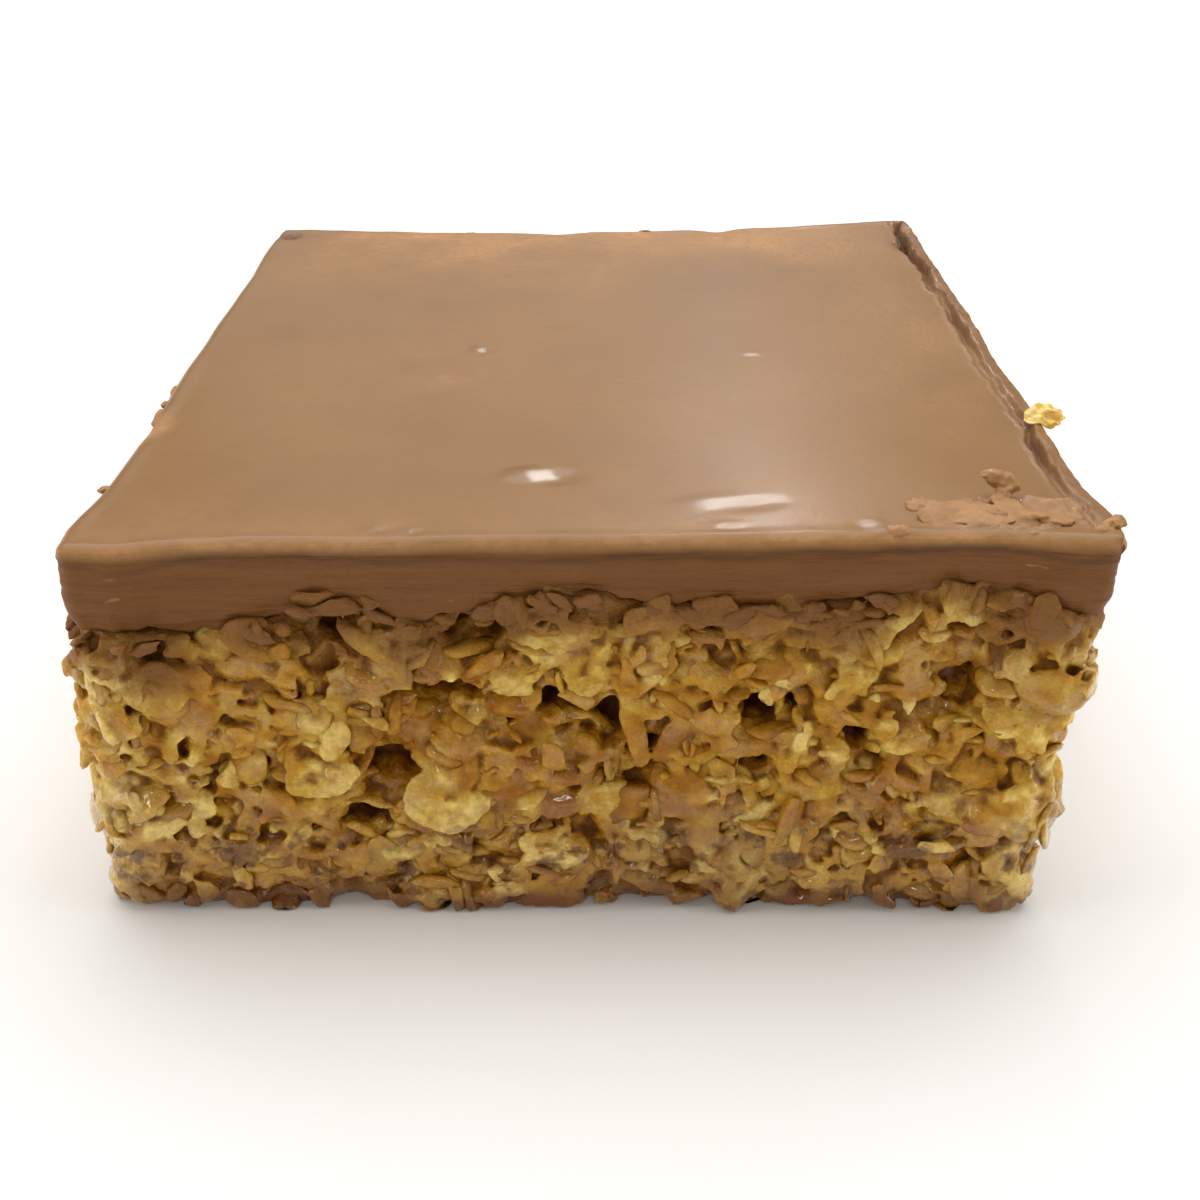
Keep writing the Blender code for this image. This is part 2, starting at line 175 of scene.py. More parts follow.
def object_from(name: str, shape: bmesh.types.BMesh) -> bpy.types.Object:
    """Turns a bmesh into a smooth-shaded object in the scene.

    Args:
        name: the object's name.
        shape: the bmesh, which is freed.

    Returns:
        The new object.
    """
    mesh = bpy.data.meshes.new(name)
    shape.to_mesh(mesh)
    shape.free()
    mesh.shade_smooth()
    made = bpy.data.objects.new(name, mesh)
    bpy.context.scene.collection.objects.link(made)
    return made


def apply_modifiers(made: bpy.types.Object) -> None:
    """Bakes an object's modifiers into its own mesh.

    Args:
        made: the object.
    """
    bpy.context.view_layer.update()
    graph = bpy.context.evaluated_depsgraph_get()
    old = made.data
    made.data = bpy.data.meshes.new_from_object(made.evaluated_get(graph), depsgraph=graph)
    made.modifiers.clear()
    bpy.data.meshes.remove(old)


def fuse(made: bpy.types.Object, voxel: float, melts: int = 0) -> None:
    """Fuses the shapes in an object into one skin.

    Args:
        made: the object.
        voxel: how fine the skin is.
        melts: how many times it is smoothed.
    """
    skin = made.modifiers.new("skin", "REMESH")
    skin.mode = "VOXEL"
    skin.voxel_size = voxel
    if melts:
        melt = made.modifiers.new("melt", "SMOOTH")
        melt.factor = 0.5
        melt.iterations = melts
    apply_modifiers(made)


def thin_out(made: bpy.types.Object, share: float) -> None:
    """Leaves about this share of an object's faces.

    Args:
        made: the object.
        share: the share that stays.
    """
    thin = made.modifiers.new("thin", "DECIMATE")
    thin.ratio = share
    apply_modifiers(made)


def cut_off(shape: bmesh.types.BMesh, place: Vector, way: Vector) -> None:
    """Takes away what lies beyond a plane and closes the cut.

    Args:
        shape: the shape that is cut.
        place: a point of the plane.
        way: the direction that is taken away.
    """
    everything = [*shape.verts, *shape.edges, *shape.faces]
    bmesh.ops.bisect_plane(shape, geom=everything, plane_co=place, plane_no=way, clear_outer=True)
    bmesh.ops.holes_fill(shape, edges=[edge for edge in shape.edges if edge.is_boundary], sides=0)


def drop_specks(made: bpy.types.Object, least: int) -> None:
    """Takes away the separate bits of a piece's skin that have few vertices.

    Args:
        made: the piece.
        least: how many vertices a bit needs to stay.
    """
    mesh = made.data
    first, second = edges_of(mesh).T
    label = np.arange(len(mesh.vertices))
    while True:
        lowest = np.minimum(label[first], label[second])
        joined = label.copy()
        for side in (first, second):
            np.minimum.at(joined, label[side], lowest)
            np.minimum.at(joined, side, lowest)
        joined = joined[joined]
        if (joined == label).all():
            break
        label = joined
    few = np.bincount(label, minlength=len(label))[label] < least
    shape = bmesh.new()
    shape.from_mesh(mesh)
    shape.verts.ensure_lookup_table()
    bmesh.ops.delete(shape, geom=[shape.verts[number] for number in np.nonzero(few)[0]], context="VERTS")
    shape.to_mesh(mesh)
    shape.free()


def cad_tree(node: str) -> BVHTree:
    """A ray-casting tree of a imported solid.

    Args:
        node: the solid's node.

    Returns:
        The tree.
    """
    shape = bmesh.new()
    shape.from_mesh(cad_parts[node].data)
    tree = BVHTree.FromBMesh(shape)
    shape.free()
    return tree


def skin_tree(mesh: bpy.types.Mesh) -> BVHTree:
    """A tree of a mesh's skin, for finding its nearest place."""
    return BVHTree.FromPolygons(points_of(mesh).tolist(), [tuple(face.vertices) for face in mesh.polygons])


# Materials


class Nodes:
    """Short ways to add and join shader nodes in one node tree."""

    def __init__(self, tree: bpy.types.NodeTree) -> None:
        """Keeps the tree that the nodes go in."""
        self.tree = tree

    def add(self, kind: str, **settings: object) -> bpy.types.Node:
        """Adds a node.

        Args:
            kind: the node's type.
            **settings: its settings, by name.

        Returns:
            The node.
        """
        node = self.tree.nodes.new(kind)
        for name, value in settings.items():
            setattr(node, name, value)
        return node

    def join(self, source: object, target: object) -> None:
        """Sends an output to an input."""
        self.tree.links.new(source, target)

    def feed(self, socket: object, value: object) -> None:
        """Sets an input to a number or colour, or joins it to an output.

        Args:
            socket: the input.
            value: the number, the colour or the output.
        """
        if isinstance(value, bpy.types.NodeSocket):
            self.join(value, socket)
        else:
            socket.default_value = value

    def mask(self, name: str) -> object:
        """Reads a number stored on the piece's vertices."""
        return self.add("ShaderNodeAttribute", attribute_name=name).outputs["Fac"]

    def math(self, operation: str, first: object, second: object = 0.5, clamp: bool = False) -> object:
        """Works out one number from two.

        Args:
            operation: what is done with them.
            first: the first number.
            second: the second number.
            clamp: whether the result is held between 0 and 1.

        Returns:
            The result's output.
        """
        node = self.add("ShaderNodeMath", operation=operation, use_clamp=clamp)
        self.feed(node.inputs[0], first)
        self.feed(node.inputs[1], second)
        return node.outputs[0]

    def mix(self, share: object, low: object, high: object) -> object:
        """Mixes two colours.

        Args:
            share: how much of the second one shows.
            low: the first colour.
            high: the second colour.

        Returns:
            The mixed colour's output.
        """
        node = self.add("ShaderNodeMix", data_type="RGBA")
        self.feed(node.inputs["Factor"], share)
        self.feed(node.inputs["A"], low)
        self.feed(node.inputs["B"], high)
        return node.outputs["Result"]

    def span(self, value: object, low: float, high: float, to_low: float, to_high: float) -> object:
        """Maps a number from one span to another, held at both ends.

        Args:
            value: the number.
            low: where its span starts.
            high: where its span ends.
            to_low: what the start becomes.
            to_high: what the end becomes.

        Returns:
            The mapped number's output.
        """
        node = self.add("ShaderNodeMapRange")
        self.feed(node.inputs["Value"], value)
        for name, number in (("From Min", low), ("From Max", high), ("To Min", to_low), ("To Max", to_high)):
            node.inputs[name].default_value = number
        return node.outputs["Result"]

    def place(self, stretch: tuple[float, float, float] = (1, 1, 1)) -> object:
        """The piece's own coordinates.

        Args:
            stretch: how much they are stretched along each axis.

        Returns:
            The coordinates' output.
        """
        mapping = self.add("ShaderNodeMapping")
        mapping.inputs["Scale"].default_value = stretch
        self.join(self.add("ShaderNodeTexCoord").outputs["Object"], mapping.inputs["Vector"])
        return mapping.outputs["Vector"]

    def noise(self, place: object, scale: float, detail: float = 3, roughness: float = 0.55) -> object:
        """Cloudy noise from 0 to 1.

        Args:
            place: the coordinates.
            scale: about how many swells there are in a metre.
            detail: how many finer octaves it has.
            roughness: how strong each finer octave is.

        Returns:
            The noise's output.
        """
        node = self.add("ShaderNodeTexNoise")
        self.join(place, node.inputs["Vector"])
        node.inputs["Scale"].default_value = scale
        node.inputs["Detail"].default_value = detail
        node.inputs["Roughness"].default_value = roughness
        return node.outputs["Fac"]

    def ramp(self, value: object, stops: tuple[tuple[float, tuple[float, float, float]], ...]) -> object:
        """Turns a number into a colour.

        Args:
            value: the number.
            stops: each colour and the number that it stands at.

        Returns:
            The colour's output.
        """
        node = self.add("ShaderNodeValToRGB")
        self.join(value, node.inputs["Fac"])
        elements = node.color_ramp.elements
        while len(elements) < len(stops):
            elements.new(0.5)
        for element, (position, colour) in zip(elements, stops):
            element.position = position
            element.color = (*colour, 1)
        return node.outputs["Color"]

    def bump(self, height: object, distance: float, strength: float = 1.0, normal: object = None) -> object:
        """A normal tilted by a height.

        Args:
            height: the height, from 0 to 1.
            distance: how far a height of 1 stands out.
            strength: how much of the tilt shows.
            normal: the normal that it tilts, if not the skin's own.

        Returns:
            The normal's output.
        """
        node = self.add("ShaderNodeBump")
        self.join(height, node.inputs["Height"])
        node.inputs["Distance"].default_value = distance
        node.inputs["Strength"].default_value = strength
        if normal is not None:
            self.join(normal, node.inputs["Normal"])
        return node.outputs["Normal"]


def new_material(name: str) -> tuple[bpy.types.Material, Nodes, bpy.types.Node]:
    """Starts a material.

    Args:
        name: the material's name.

    Returns:
        The material, its nodes and its shader.
    """
    made = bpy.data.materials.new(name)
    made.use_nodes = True
    return made, Nodes(made.node_tree), made.node_tree.nodes["Principled BSDF"]


@dataclass(frozen=True)
class Gloss:
    """How a material shines and how far light goes into it."""

    coat_roughness: float
    refraction: float
    specular: float
    glow: float
    glow_radius: tuple[float, float, float]
    glow_scale: float

    def give(self, shader: bpy.types.Node) -> None:
        """Sets the gloss on a shader.

        Args:
            shader: the material's shader.
        """
        for title, value in (
            ("Coat Roughness", self.coat_roughness),
            ("IOR", self.refraction),
            ("Specular IOR Level", self.specular),
            ("Subsurface Weight", self.glow),
            ("Subsurface Radius", self.glow_radius),
            ("Subsurface Scale", self.glow_scale),
        ):
            shader.inputs[title].default_value = value


def new_group(name: str, inputs: tuple[str, ...], outputs: dict[str, str]) -> tuple[Nodes, dict, dict]:
    """Starts a shader node group.

    Args:
        name: the group's name.
        inputs: the names of its number inputs.
        outputs: the name of each output and its socket type.

    Returns:
        The group's nodes, its inputs' sockets and its outputs' sockets, by name.
    """
    tree = bpy.data.node_groups.new(name, "ShaderNodeTree")
    for title in inputs:
        tree.interface.new_socket(title, in_out="INPUT", socket_type="NodeSocketFloat")
    for title, kind in outputs.items():
        tree.interface.new_socket(title, in_out="OUTPUT", socket_type=kind)
    nodes = Nodes(tree)
    entry = nodes.add("NodeGroupInput")
    leaving = nodes.add("NodeGroupOutput")
    return nodes, dict(entry.outputs.items()), dict(leaving.inputs.items())


@dataclass(frozen=True)
class OatTint:
    """How baked oats take their colour: each flake's own tone (paler towards the bar's left and right ends, which is
    painted light), syrup and painted shade in the hollows, stains and scorching.
    """

    amber: tuple[float, float, float] = (0.33, 0.118, 0.003)
    gold: tuple[float, float, float] = (0.50, 0.245, 0.016)
    straw: tuple[float, float, float] = (0.60, 0.356, 0.044)
    cream: tuple[float, float, float] = (0.85, 0.620, 0.170)
    honey: tuple[float, float, float, float] = (0.28, 0.105, 0.002, 1)
    syrup: tuple[float, float, float, float] = (0.095, 0.022, 0.0005, 1)
    smear: tuple[float, float, float, float] = (0.32, 0.162, 0.034, 1)
    cocoa: tuple[float, float, float, float] = (0.23, 0.098, 0.017, 1)
    chocolate: tuple[float, float, float, float] = (0.205, 0.084, 0.015, 1)
    caramel: tuple[float, float, float, float] = (0.19, 0.058, 0.002, 1)

    def group(self) -> bpy.types.NodeTree:
        """Builds the tint as a node group that the crumb and the flakes share.

        Returns:
            The group, which puts out a colour, a roughness and a wetness.
        """
        known = bpy.data.node_groups.get("oat_tint")
        if known:
            return known
        nodes, given, out = new_group(
            "oat_tint",
            OAT_MASKS,
            {"Color": "NodeSocketColor", "Roughness": "NodeSocketFloat", "Wetness": "NodeSocketFloat"},
        )
        place = nodes.place()
        mottle = nodes.noise(place, 620, 4, 0.6)
        patches = nodes.noise(place, 150, 2, 0.5)
        fibres = nodes.noise(place, 1500, 3, 0.6)
        tone = nodes.math("ADD", given["Tone"], nodes.span(mottle, 0.3, 0.7, -0.26, 0.26))
        tone = nodes.math("ADD", tone, nodes.math("MULTIPLY", given["Damp"], 0.10))
        tone = nodes.math("ADD", tone, nodes.span(patches, 0.3, 0.7, -0.14, 0.14), clamp=True)
        stops = ((0.0, self.amber), (0.38, self.gold), (0.72, self.straw), (1.0, self.cream))
        colour = nodes.ramp(tone, stops)
        shade = nodes.span(fibres, 0.40, 0.64, 0.0, 0.36)
        colour = nodes.mix(shade, colour, self.honey)
        smears = nodes.span(nodes.noise(nodes.place((0.7, 0.7, 1.2)), 105, 3, 0.6), 0.52, 0.66, 0.0, 0.42)
        colour = nodes.mix(smears, colour, self.smear)
        # Painted shade with syrup: the hollows darken to honey, then to dark syrup.
        near = nodes.span(given["Hollow"], 0.0, 0.42, 0.0, 1.0)
        colour = nodes.mix(nodes.math("MULTIPLY", near, 0.85), colour, self.honey)
        colour = nodes.mix(nodes.span(given["Hollow"], 0.36, 0.85, 0.0, 1.0), colour, self.syrup)
        puddles = nodes.span(nodes.noise(place, 420, 3, 0.6), 0.53, 0.61, 0.0, 0.72)
        colour = nodes.mix(nodes.math("MULTIPLY", puddles, given["Damp"]), colour, self.syrup)
        scorch = nodes.math("MULTIPLY", given["Scorch"], nodes.span(patches, 0.35, 0.62, 0.60, 1.0))
        colour = nodes.mix(scorch, colour, self.caramel)
        stain = nodes.math("MULTIPLY", given["Stain"], nodes.span(patches, 0.3, 0.6, 0.78, 1.0))
        colour = nodes.mix(stain, colour, self.cocoa)
        dark_patch = nodes.span(given["Stain"], 0.55, 1.0, 0.0, 1.0)
        dark_patch = nodes.math("MULTIPLY", dark_patch, nodes.span(mottle, 0.4, 0.6, 0.5, 1.0))
        colour = nodes.mix(dark_patch, colour, self.chocolate)
        nodes.join(colour, out["Color"])
        pools = nodes.math("ADD", nodes.noise(place, 330, 3, 0.6), nodes.math("MULTIPLY", given["Damp"], 0.20))
        wet = nodes.span(pools, 0.46, 0.58, 0.0, 1.0)
        wet = nodes.math("MAXIMUM", wet, given["Scorch"])
        wet = nodes.math("MULTIPLY", wet, nodes.span(given["Hollow"], 0.3, 0.7, 1.0, 0.0))
        wet = nodes.math("MULTIPLY", wet, nodes.span(given["Stain"], 0.2, 0.9, 1.0, 0.15))
        nodes.join(wet, out["Wetness"])
        dull = nodes.span(given["Hollow"], 0.3, 0.8, 0.0, 0.35)
        rough = nodes.math("ADD", nodes.span(wet, 0.0, 1.0, 0.52, 0.15), dull, clamp=True)
        nodes.join(rough, out["Roughness"])
        return nodes.tree


@dataclass(frozen=True)
class OatFinish:
    """Baked oats glazed with syrup."""

    name: str
    skin_depth: float
    skin_scale: float
    coat_share: float = 0.75
    gloss: Gloss = Gloss(0.17, 1.40, 0.36, 0.30, (1.0, 0.52, 0.12), 0.0010)

    def material(self) -> bpy.types.Material:
        """Builds the glazed oat material, or finds it again.

        Returns:
            The material, which reads the masks on the piece's vertices.
        """
        known = bpy.data.materials.get(self.name)
        if known:
            return known
        made, nodes, shader = new_material(self.name)
        tint = nodes.add("ShaderNodeGroup", node_tree=OatTint().group())
        for title in OAT_MASKS:
            nodes.join(nodes.mask(title.lower()), tint.inputs[title])
        nodes.join(tint.outputs["Color"], shader.inputs["Base Color"])
        nodes.join(tint.outputs["Roughness"], shader.inputs["Roughness"])
        coarse = nodes.bump(nodes.noise(nodes.place(), self.skin_scale, 3, 0.65), self.skin_depth)
        fine = nodes.bump(nodes.noise(nodes.place(), self.skin_scale * 3.3, 2, 0.5), self.skin_depth * 0.35, 1, coarse)
        nodes.join(fine, shader.inputs["Normal"])
        nodes.join(nodes.math("MULTIPLY", tint.outputs["Wetness"], self.coat_share), shader.inputs["Coat Weight"])
        self.gloss.give(shader)
        return made


@dataclass(frozen=True)
class ChocolateFinish:
    """Set milk chocolate: a satin top, matte where the knife or a scrape has broken it."""

    name: str = "milk_chocolate"
    top: tuple[float, float, float, float] = (0.232, 0.111, 0.026, 1)
    cloud: tuple[float, float, float, float] = (0.208, 0.097, 0.022, 1)
    side: tuple[float, float, float, float] = (0.190, 0.074, 0.018, 1)
    drag: tuple[float, float, float, float] = (0.148, 0.053, 0.010, 1)
    # Pale broken chocolate; along the rim it is a painted highlight.
    broken: tuple[float, float, float, float] = (0.42, 0.215, 0.088, 1)
    # Painted shade: the knife groove, the line under the lip and the shadows in the dents.
    shade: tuple[float, float, float, float] = (0.085, 0.030, 0.008, 1)
    coat_share: float = 0.22
    gloss: Gloss = Gloss(0.17, 1.46, 0.28, 0.06, (1.0, 0.45, 0.22), 0.0006)

    def material(self) -> bpy.types.Material:
        """Builds the chocolate material.

        Returns:
            The material, which reads the masks "cut", "broken" (which also carries a painted highlight along the rim)
            and "shade" (painted shade) on the piece's vertices.
        """
        made, nodes, shader = new_material(self.name)
        place = nodes.place()
        cut = nodes.mask("cut")
        broken = nodes.mask("broken")
        clouds = nodes.span(nodes.noise(place, 55, 3, 0.55), 0.35, 0.65, 0.0, 1.0)
        colour = nodes.mix(clouds, self.top, self.cloud)
        colour = nodes.mix(cut, colour, self.side)
        streaks = nodes.noise(nodes.place((1, 1, 14)), 75, 4, 0.6)
        streak = nodes.math("MULTIPLY", cut, nodes.span(streaks, 0.42, 0.64, 0.0, 0.75))
        colour = nodes.mix(streak, colour, self.drag)
        flecks = nodes.span(nodes.noise(nodes.place((0.6, 0.6, 1.6)), 520, 2, 0.6), 0.70, 0.74, 0.0, 0.5)
        colour = nodes.mix(nodes.math("MULTIPLY", cut, flecks), colour, self.broken)
        chips = nodes.span(nodes.noise(place, 900, 3, 0.6), 0.35, 0.65, 0.55, 1.0)
        colour = nodes.mix(nodes.math("MULTIPLY", broken, chips), colour, self.broken)
        colour = nodes.mix(nodes.mask("shade"), colour, self.shade)
        nodes.join(colour, shader.inputs["Base Color"])
        haze = nodes.span(nodes.noise(place, 38, 3, 0.6), 0.35, 0.65, 0.28, 0.36)
        matte = nodes.math("MAXIMUM", nodes.math("MAXIMUM", cut, broken), nodes.mask("shade"))
        rough = nodes.math("ADD", haze, nodes.math("MULTIPLY", matte, 0.18), clamp=True)
        nodes.join(rough, shader.inputs["Roughness"])
        coat = nodes.math("MULTIPLY", nodes.math("SUBTRACT", 1.0, matte, clamp=True), self.coat_share)
        nodes.join(coat, shader.inputs["Coat Weight"])
        soft = nodes.bump(nodes.noise(place, 130, 2, 0.5), 0.00001)
        drawn = nodes.bump(nodes.math("MULTIPLY", streaks, cut), 0.00040, 1, soft)
        grain = nodes.math("MULTIPLY", nodes.noise(place, 1500, 3, 0.6), nodes.math("ADD", matte, 0.05))
        nodes.join(nodes.bump(grain, 0.00012, 1, drawn), shader.inputs["Normal"])
        self.gloss.give(shader)
        return made


# The cut walls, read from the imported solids


@dataclass
class CutWalls:
    """The bar's four cut walls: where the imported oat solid's surface and its seam with the chocolate are."""

    ray_start: float = 0.02
    ray_depth: float = 8 * MM
    seam_ray: float = 0.05
    seam_inset: float = 1.0 * MM
    corner_blend: float = 4.0 * MM
    corner_turn: float = 0.8
    flake_room_x: float = 1.6 * MM
    flake_room_y: float = 1.4 * MM

    def __post_init__(self) -> None:
        """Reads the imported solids."""
        self.oats = cad_tree(OATS)
        self.chocolate = cad_tree(CHOCOLATE)
        low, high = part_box(OATS)
        self.low = low
        self.high = high
        self.half_x = (high.x - low.x) / 2 - self.flake_room_x
        self.half_y = (high.y - low.y) / 2 - self.flake_room_y
        self.length = 4 * (self.half_x + self.half_y)

    def around(self, along: float) -> tuple[Vector, Vector]:
        """A point of the bar's nominal outline.

        Args:
            along: distance round the outline from the front left corner.

        Returns:
            The point at z 0, and the direction out of the wall there.
        """
        along %= self.length
        sides = (
            (Vector((-self.half_x, -self.half_y, 0)), Vector((1, 0, 0)), 2 * self.half_x),
            (Vector((self.half_x, -self.half_y, 0)), Vector((0, 1, 0)), 2 * self.half_y),
            (Vector((self.half_x, self.half_y, 0)), Vector((-1, 0, 0)), 2 * self.half_x),
            (Vector((-self.half_x, self.half_y, 0)), Vector((0, -1, 0)), 2 * self.half_y),
        )
        for start, way, length in sides:
            if along <= length:
                outward = Vector((way.y, -way.x, 0))
                early = 1 - eased(along / self.corner_blend)
                late = 1 - eased((length - along) / self.corner_blend)
                return start + way * along, (outward + way * self.corner_turn * (late - early)).normalized()
            along -= length
        return sides[0][0].copy(), Vector((0, -1, 0))

    def surface(self, along: float, z: float) -> tuple[Vector, Vector] | None:
        """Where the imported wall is, at a distance round the bar and a height.

        Args:
            along: distance round the outline from the front left corner.
            z: height.

        Returns:
            The place and the direction out of the wall, or None past the wall's edge.
        """
        point, outward = self.around(along)
        start = point + outward * self.ray_start + Vector((0, 0, z))
        hit = self.oats.ray_cast(start, -outward, self.ray_start + self.ray_depth)[0]
        return (hit, outward) if hit is not None else None

    def seam(self, x: float, y: float) -> float:
        """Height of the chocolate's lower edge over or beside a place.

        Args:
            x: place across the bar.
            y: place along the bar.

        Returns:
            The height.
        """
        inner_x = min(max(x, -self.half_x + self.seam_inset), self.half_x - self.seam_inset)
        inner_y = min(max(y, -self.half_y + self.seam_inset), self.half_y - self.seam_inset)
        hit = self.chocolate.ray_cast(Vector((inner_x, inner_y, 0)), Vector((0, 0, 1)), self.seam_ray)[0]
        return hit.z if hit is not None else self.high.z

    def along_of(self, places: np.ndarray) -> np.ndarray:
        """How far round the outline each place's nearest point of a wall is.

        Args:
            places: one row a place.

        Returns:
            The distance from the front left corner, for each place.
        """
        x, y = places[:, 0], places[:, 1]
        beside = np.stack([-self.half_y - y, x - self.half_x, y - self.half_y, -self.half_x - x])
        wide, deep = 2 * self.half_x, 2 * self.half_y
        runs = np.stack([x + self.half_x, wide + y + self.half_y, wide + deep + self.half_x - x])
        runs = np.vstack([runs, [2 * wide + deep + self.half_y - y]])
        return np.take_along_axis(runs, beside.argmax(axis=0)[None], axis=0)[0]

    def depth(self, places: np.ndarray) -> np.ndarray:
        """How far inside the nominal outline each place is."""
        beside = np.maximum(np.abs(places[:, 0]) - self.half_x, np.abs(places[:, 1]) - self.half_y)
        return -beside


# The oats


class Lie(Enum):
    """How a flake lies in the cut wall."""

    FLAT = "flat"
    SHINGLED = "shingled"
    FACING = "facing"
    UPRIGHT = "upright"


@dataclass(frozen=True)
class FlakeSpot:
    """A flake that stands out on the front face, in millimetres and degrees."""

    x: float
    z: float
    length: float
    width: float
    turn: float
    lean: float
    tone: float
    proud: float = 0.4


@dataclass(frozen=True)
class Hollow:
    """A dark gap between the flakes: its place round the walls, its height and its size, in millimetres."""

    along: float
    z: float
    half_width: float
    half_height: float

    def share(self, along: np.ndarray, z: np.ndarray) -> np.ndarray:
        """How far out from the gap's middle places are.

        Args:
            along: the places' distances round the outline, in metres.
            z: their heights, in metres.

        Returns:
            A share for each place, 1 at the gap's uneven rim.
        """
        aside, above = along / MM - self.along, z / MM - self.z
        uneven = 0.22 * np.sin(2.3 * aside + self.along) + 0.20 * np.sin(4.1 * aside - 2.9 * above + self.z)
        return np.hypot(aside / self.half_width, above / self.half_height) + uneven


@dataclass
class OatFlakes:
    """The shapes that rolled oats come in: swollen ovals, rods and broken pieces, curled and creased."""

    rng: random.Random
    kinds: int = 26
    broken_share: float = 0.25
    narrow_share: float = 0.36
    shapes: list[bpy.types.Mesh] = field(default_factory=list)
    fine_shapes: list[bpy.types.Mesh] = field(default_factory=list)

    def build(self) -> None:
        """Builds every kind of flake, one unit long, and the finer whole ones."""
        self.shapes = [self.shape(number, 2) for number in range(self.kinds)]
        self.fine_shapes = [self.shape(100 + number, 3, whole=True) for number in range(8)]

    def shape(self, number: int, fineness: int, whole: bool = False) -> bpy.types.Mesh:
        """Builds one kind of flake.

        Args:
            number: the kind's number.
            fineness: how finely its skin is divided.
            whole: whether it's an unbroken broad oval.

        Returns:
            A closed mesh about one unit long, its broad face towards +Z.
        """
        rng = self.rng
        shape = bmesh.new()
        bmesh.ops.create_icosphere(shape, subdivisions=fineness, radius=0.5)
        narrow = not whole and rng.random() < self.narrow_share
        width = rng.uniform(0.26, 0.42) if narrow else rng.uniform(0.58, 0.84)
        thick = rng.uniform(0.20, 0.29)
        curl = rng.uniform(-0.50, 0.50)
        roll = rng.uniform(-0.8, 0.8)
        twist = rng.uniform(-0.6, 0.6)
        crease = rng.uniform(-0.07, 0.03)
        for vertex in shape.verts:
            x, y, z = vertex.co
            ragged = 1 + 0.22 * noise.noise(Vector((x * 2.4, y * 2.4, number * 5.3)))
            ragged += 0.13 * noise.noise(Vector((x * 7, y * 7, number * 2.7)))
            pointed = 1 - 0.25 * abs(x * 2) ** 3
            x, y = x * ragged, y * width * ragged * pointed
            z = math.copysign(abs(z * 2) ** 0.72, z) * thick / 2
            lift = curl * x * x + roll * y * y + twist * x * y + crease * hill(y, 0.09)
            lift += 0.07 * noise.noise(Vector((x * 5, y * 5, number * 3.1)))
            vertex.co = Vector((x, y, z + lift))
        if not whole and rng.random() < self.broken_share:
            angle = rng.uniform(0, 2 * math.pi)
            way = Vector((math.cos(angle), math.sin(angle), rng.uniform(-0.3, 0.3)))
            cut_off(shape, way * rng.uniform(0.0, 0.22), way)
        bmesh.ops.recalc_face_normals(shape, faces=shape.faces)
        mesh = bpy.data.meshes.new(f"flake_{number}")
        shape.to_mesh(mesh)
        shape.free()
        mesh.shade_smooth()
        return mesh

    def placed(self, turn: Matrix, stretch: Vector, tone: float, fine: bool = False) -> bpy.types.Mesh:
        """One flake, turned and sized, still at the origin.

        Args:
            turn: its orientation.
            stretch: its size along its length, width and thickness, against a unit flake.
            tone: how pale it is, from 0 to 1.
            fine: whether it's one of the finer whole flakes.

        Returns:
            A new mesh with the flake's tone on its vertices.
        """
        mesh = self.rng.choice(self.fine_shapes if fine else self.shapes).copy()
        mesh.transform(turn.to_4x4() @ Matrix.Diagonal((*stretch, 1)))
        set_mask(mesh, "tone", np.full(len(mesh.vertices), tone))
        return mesh


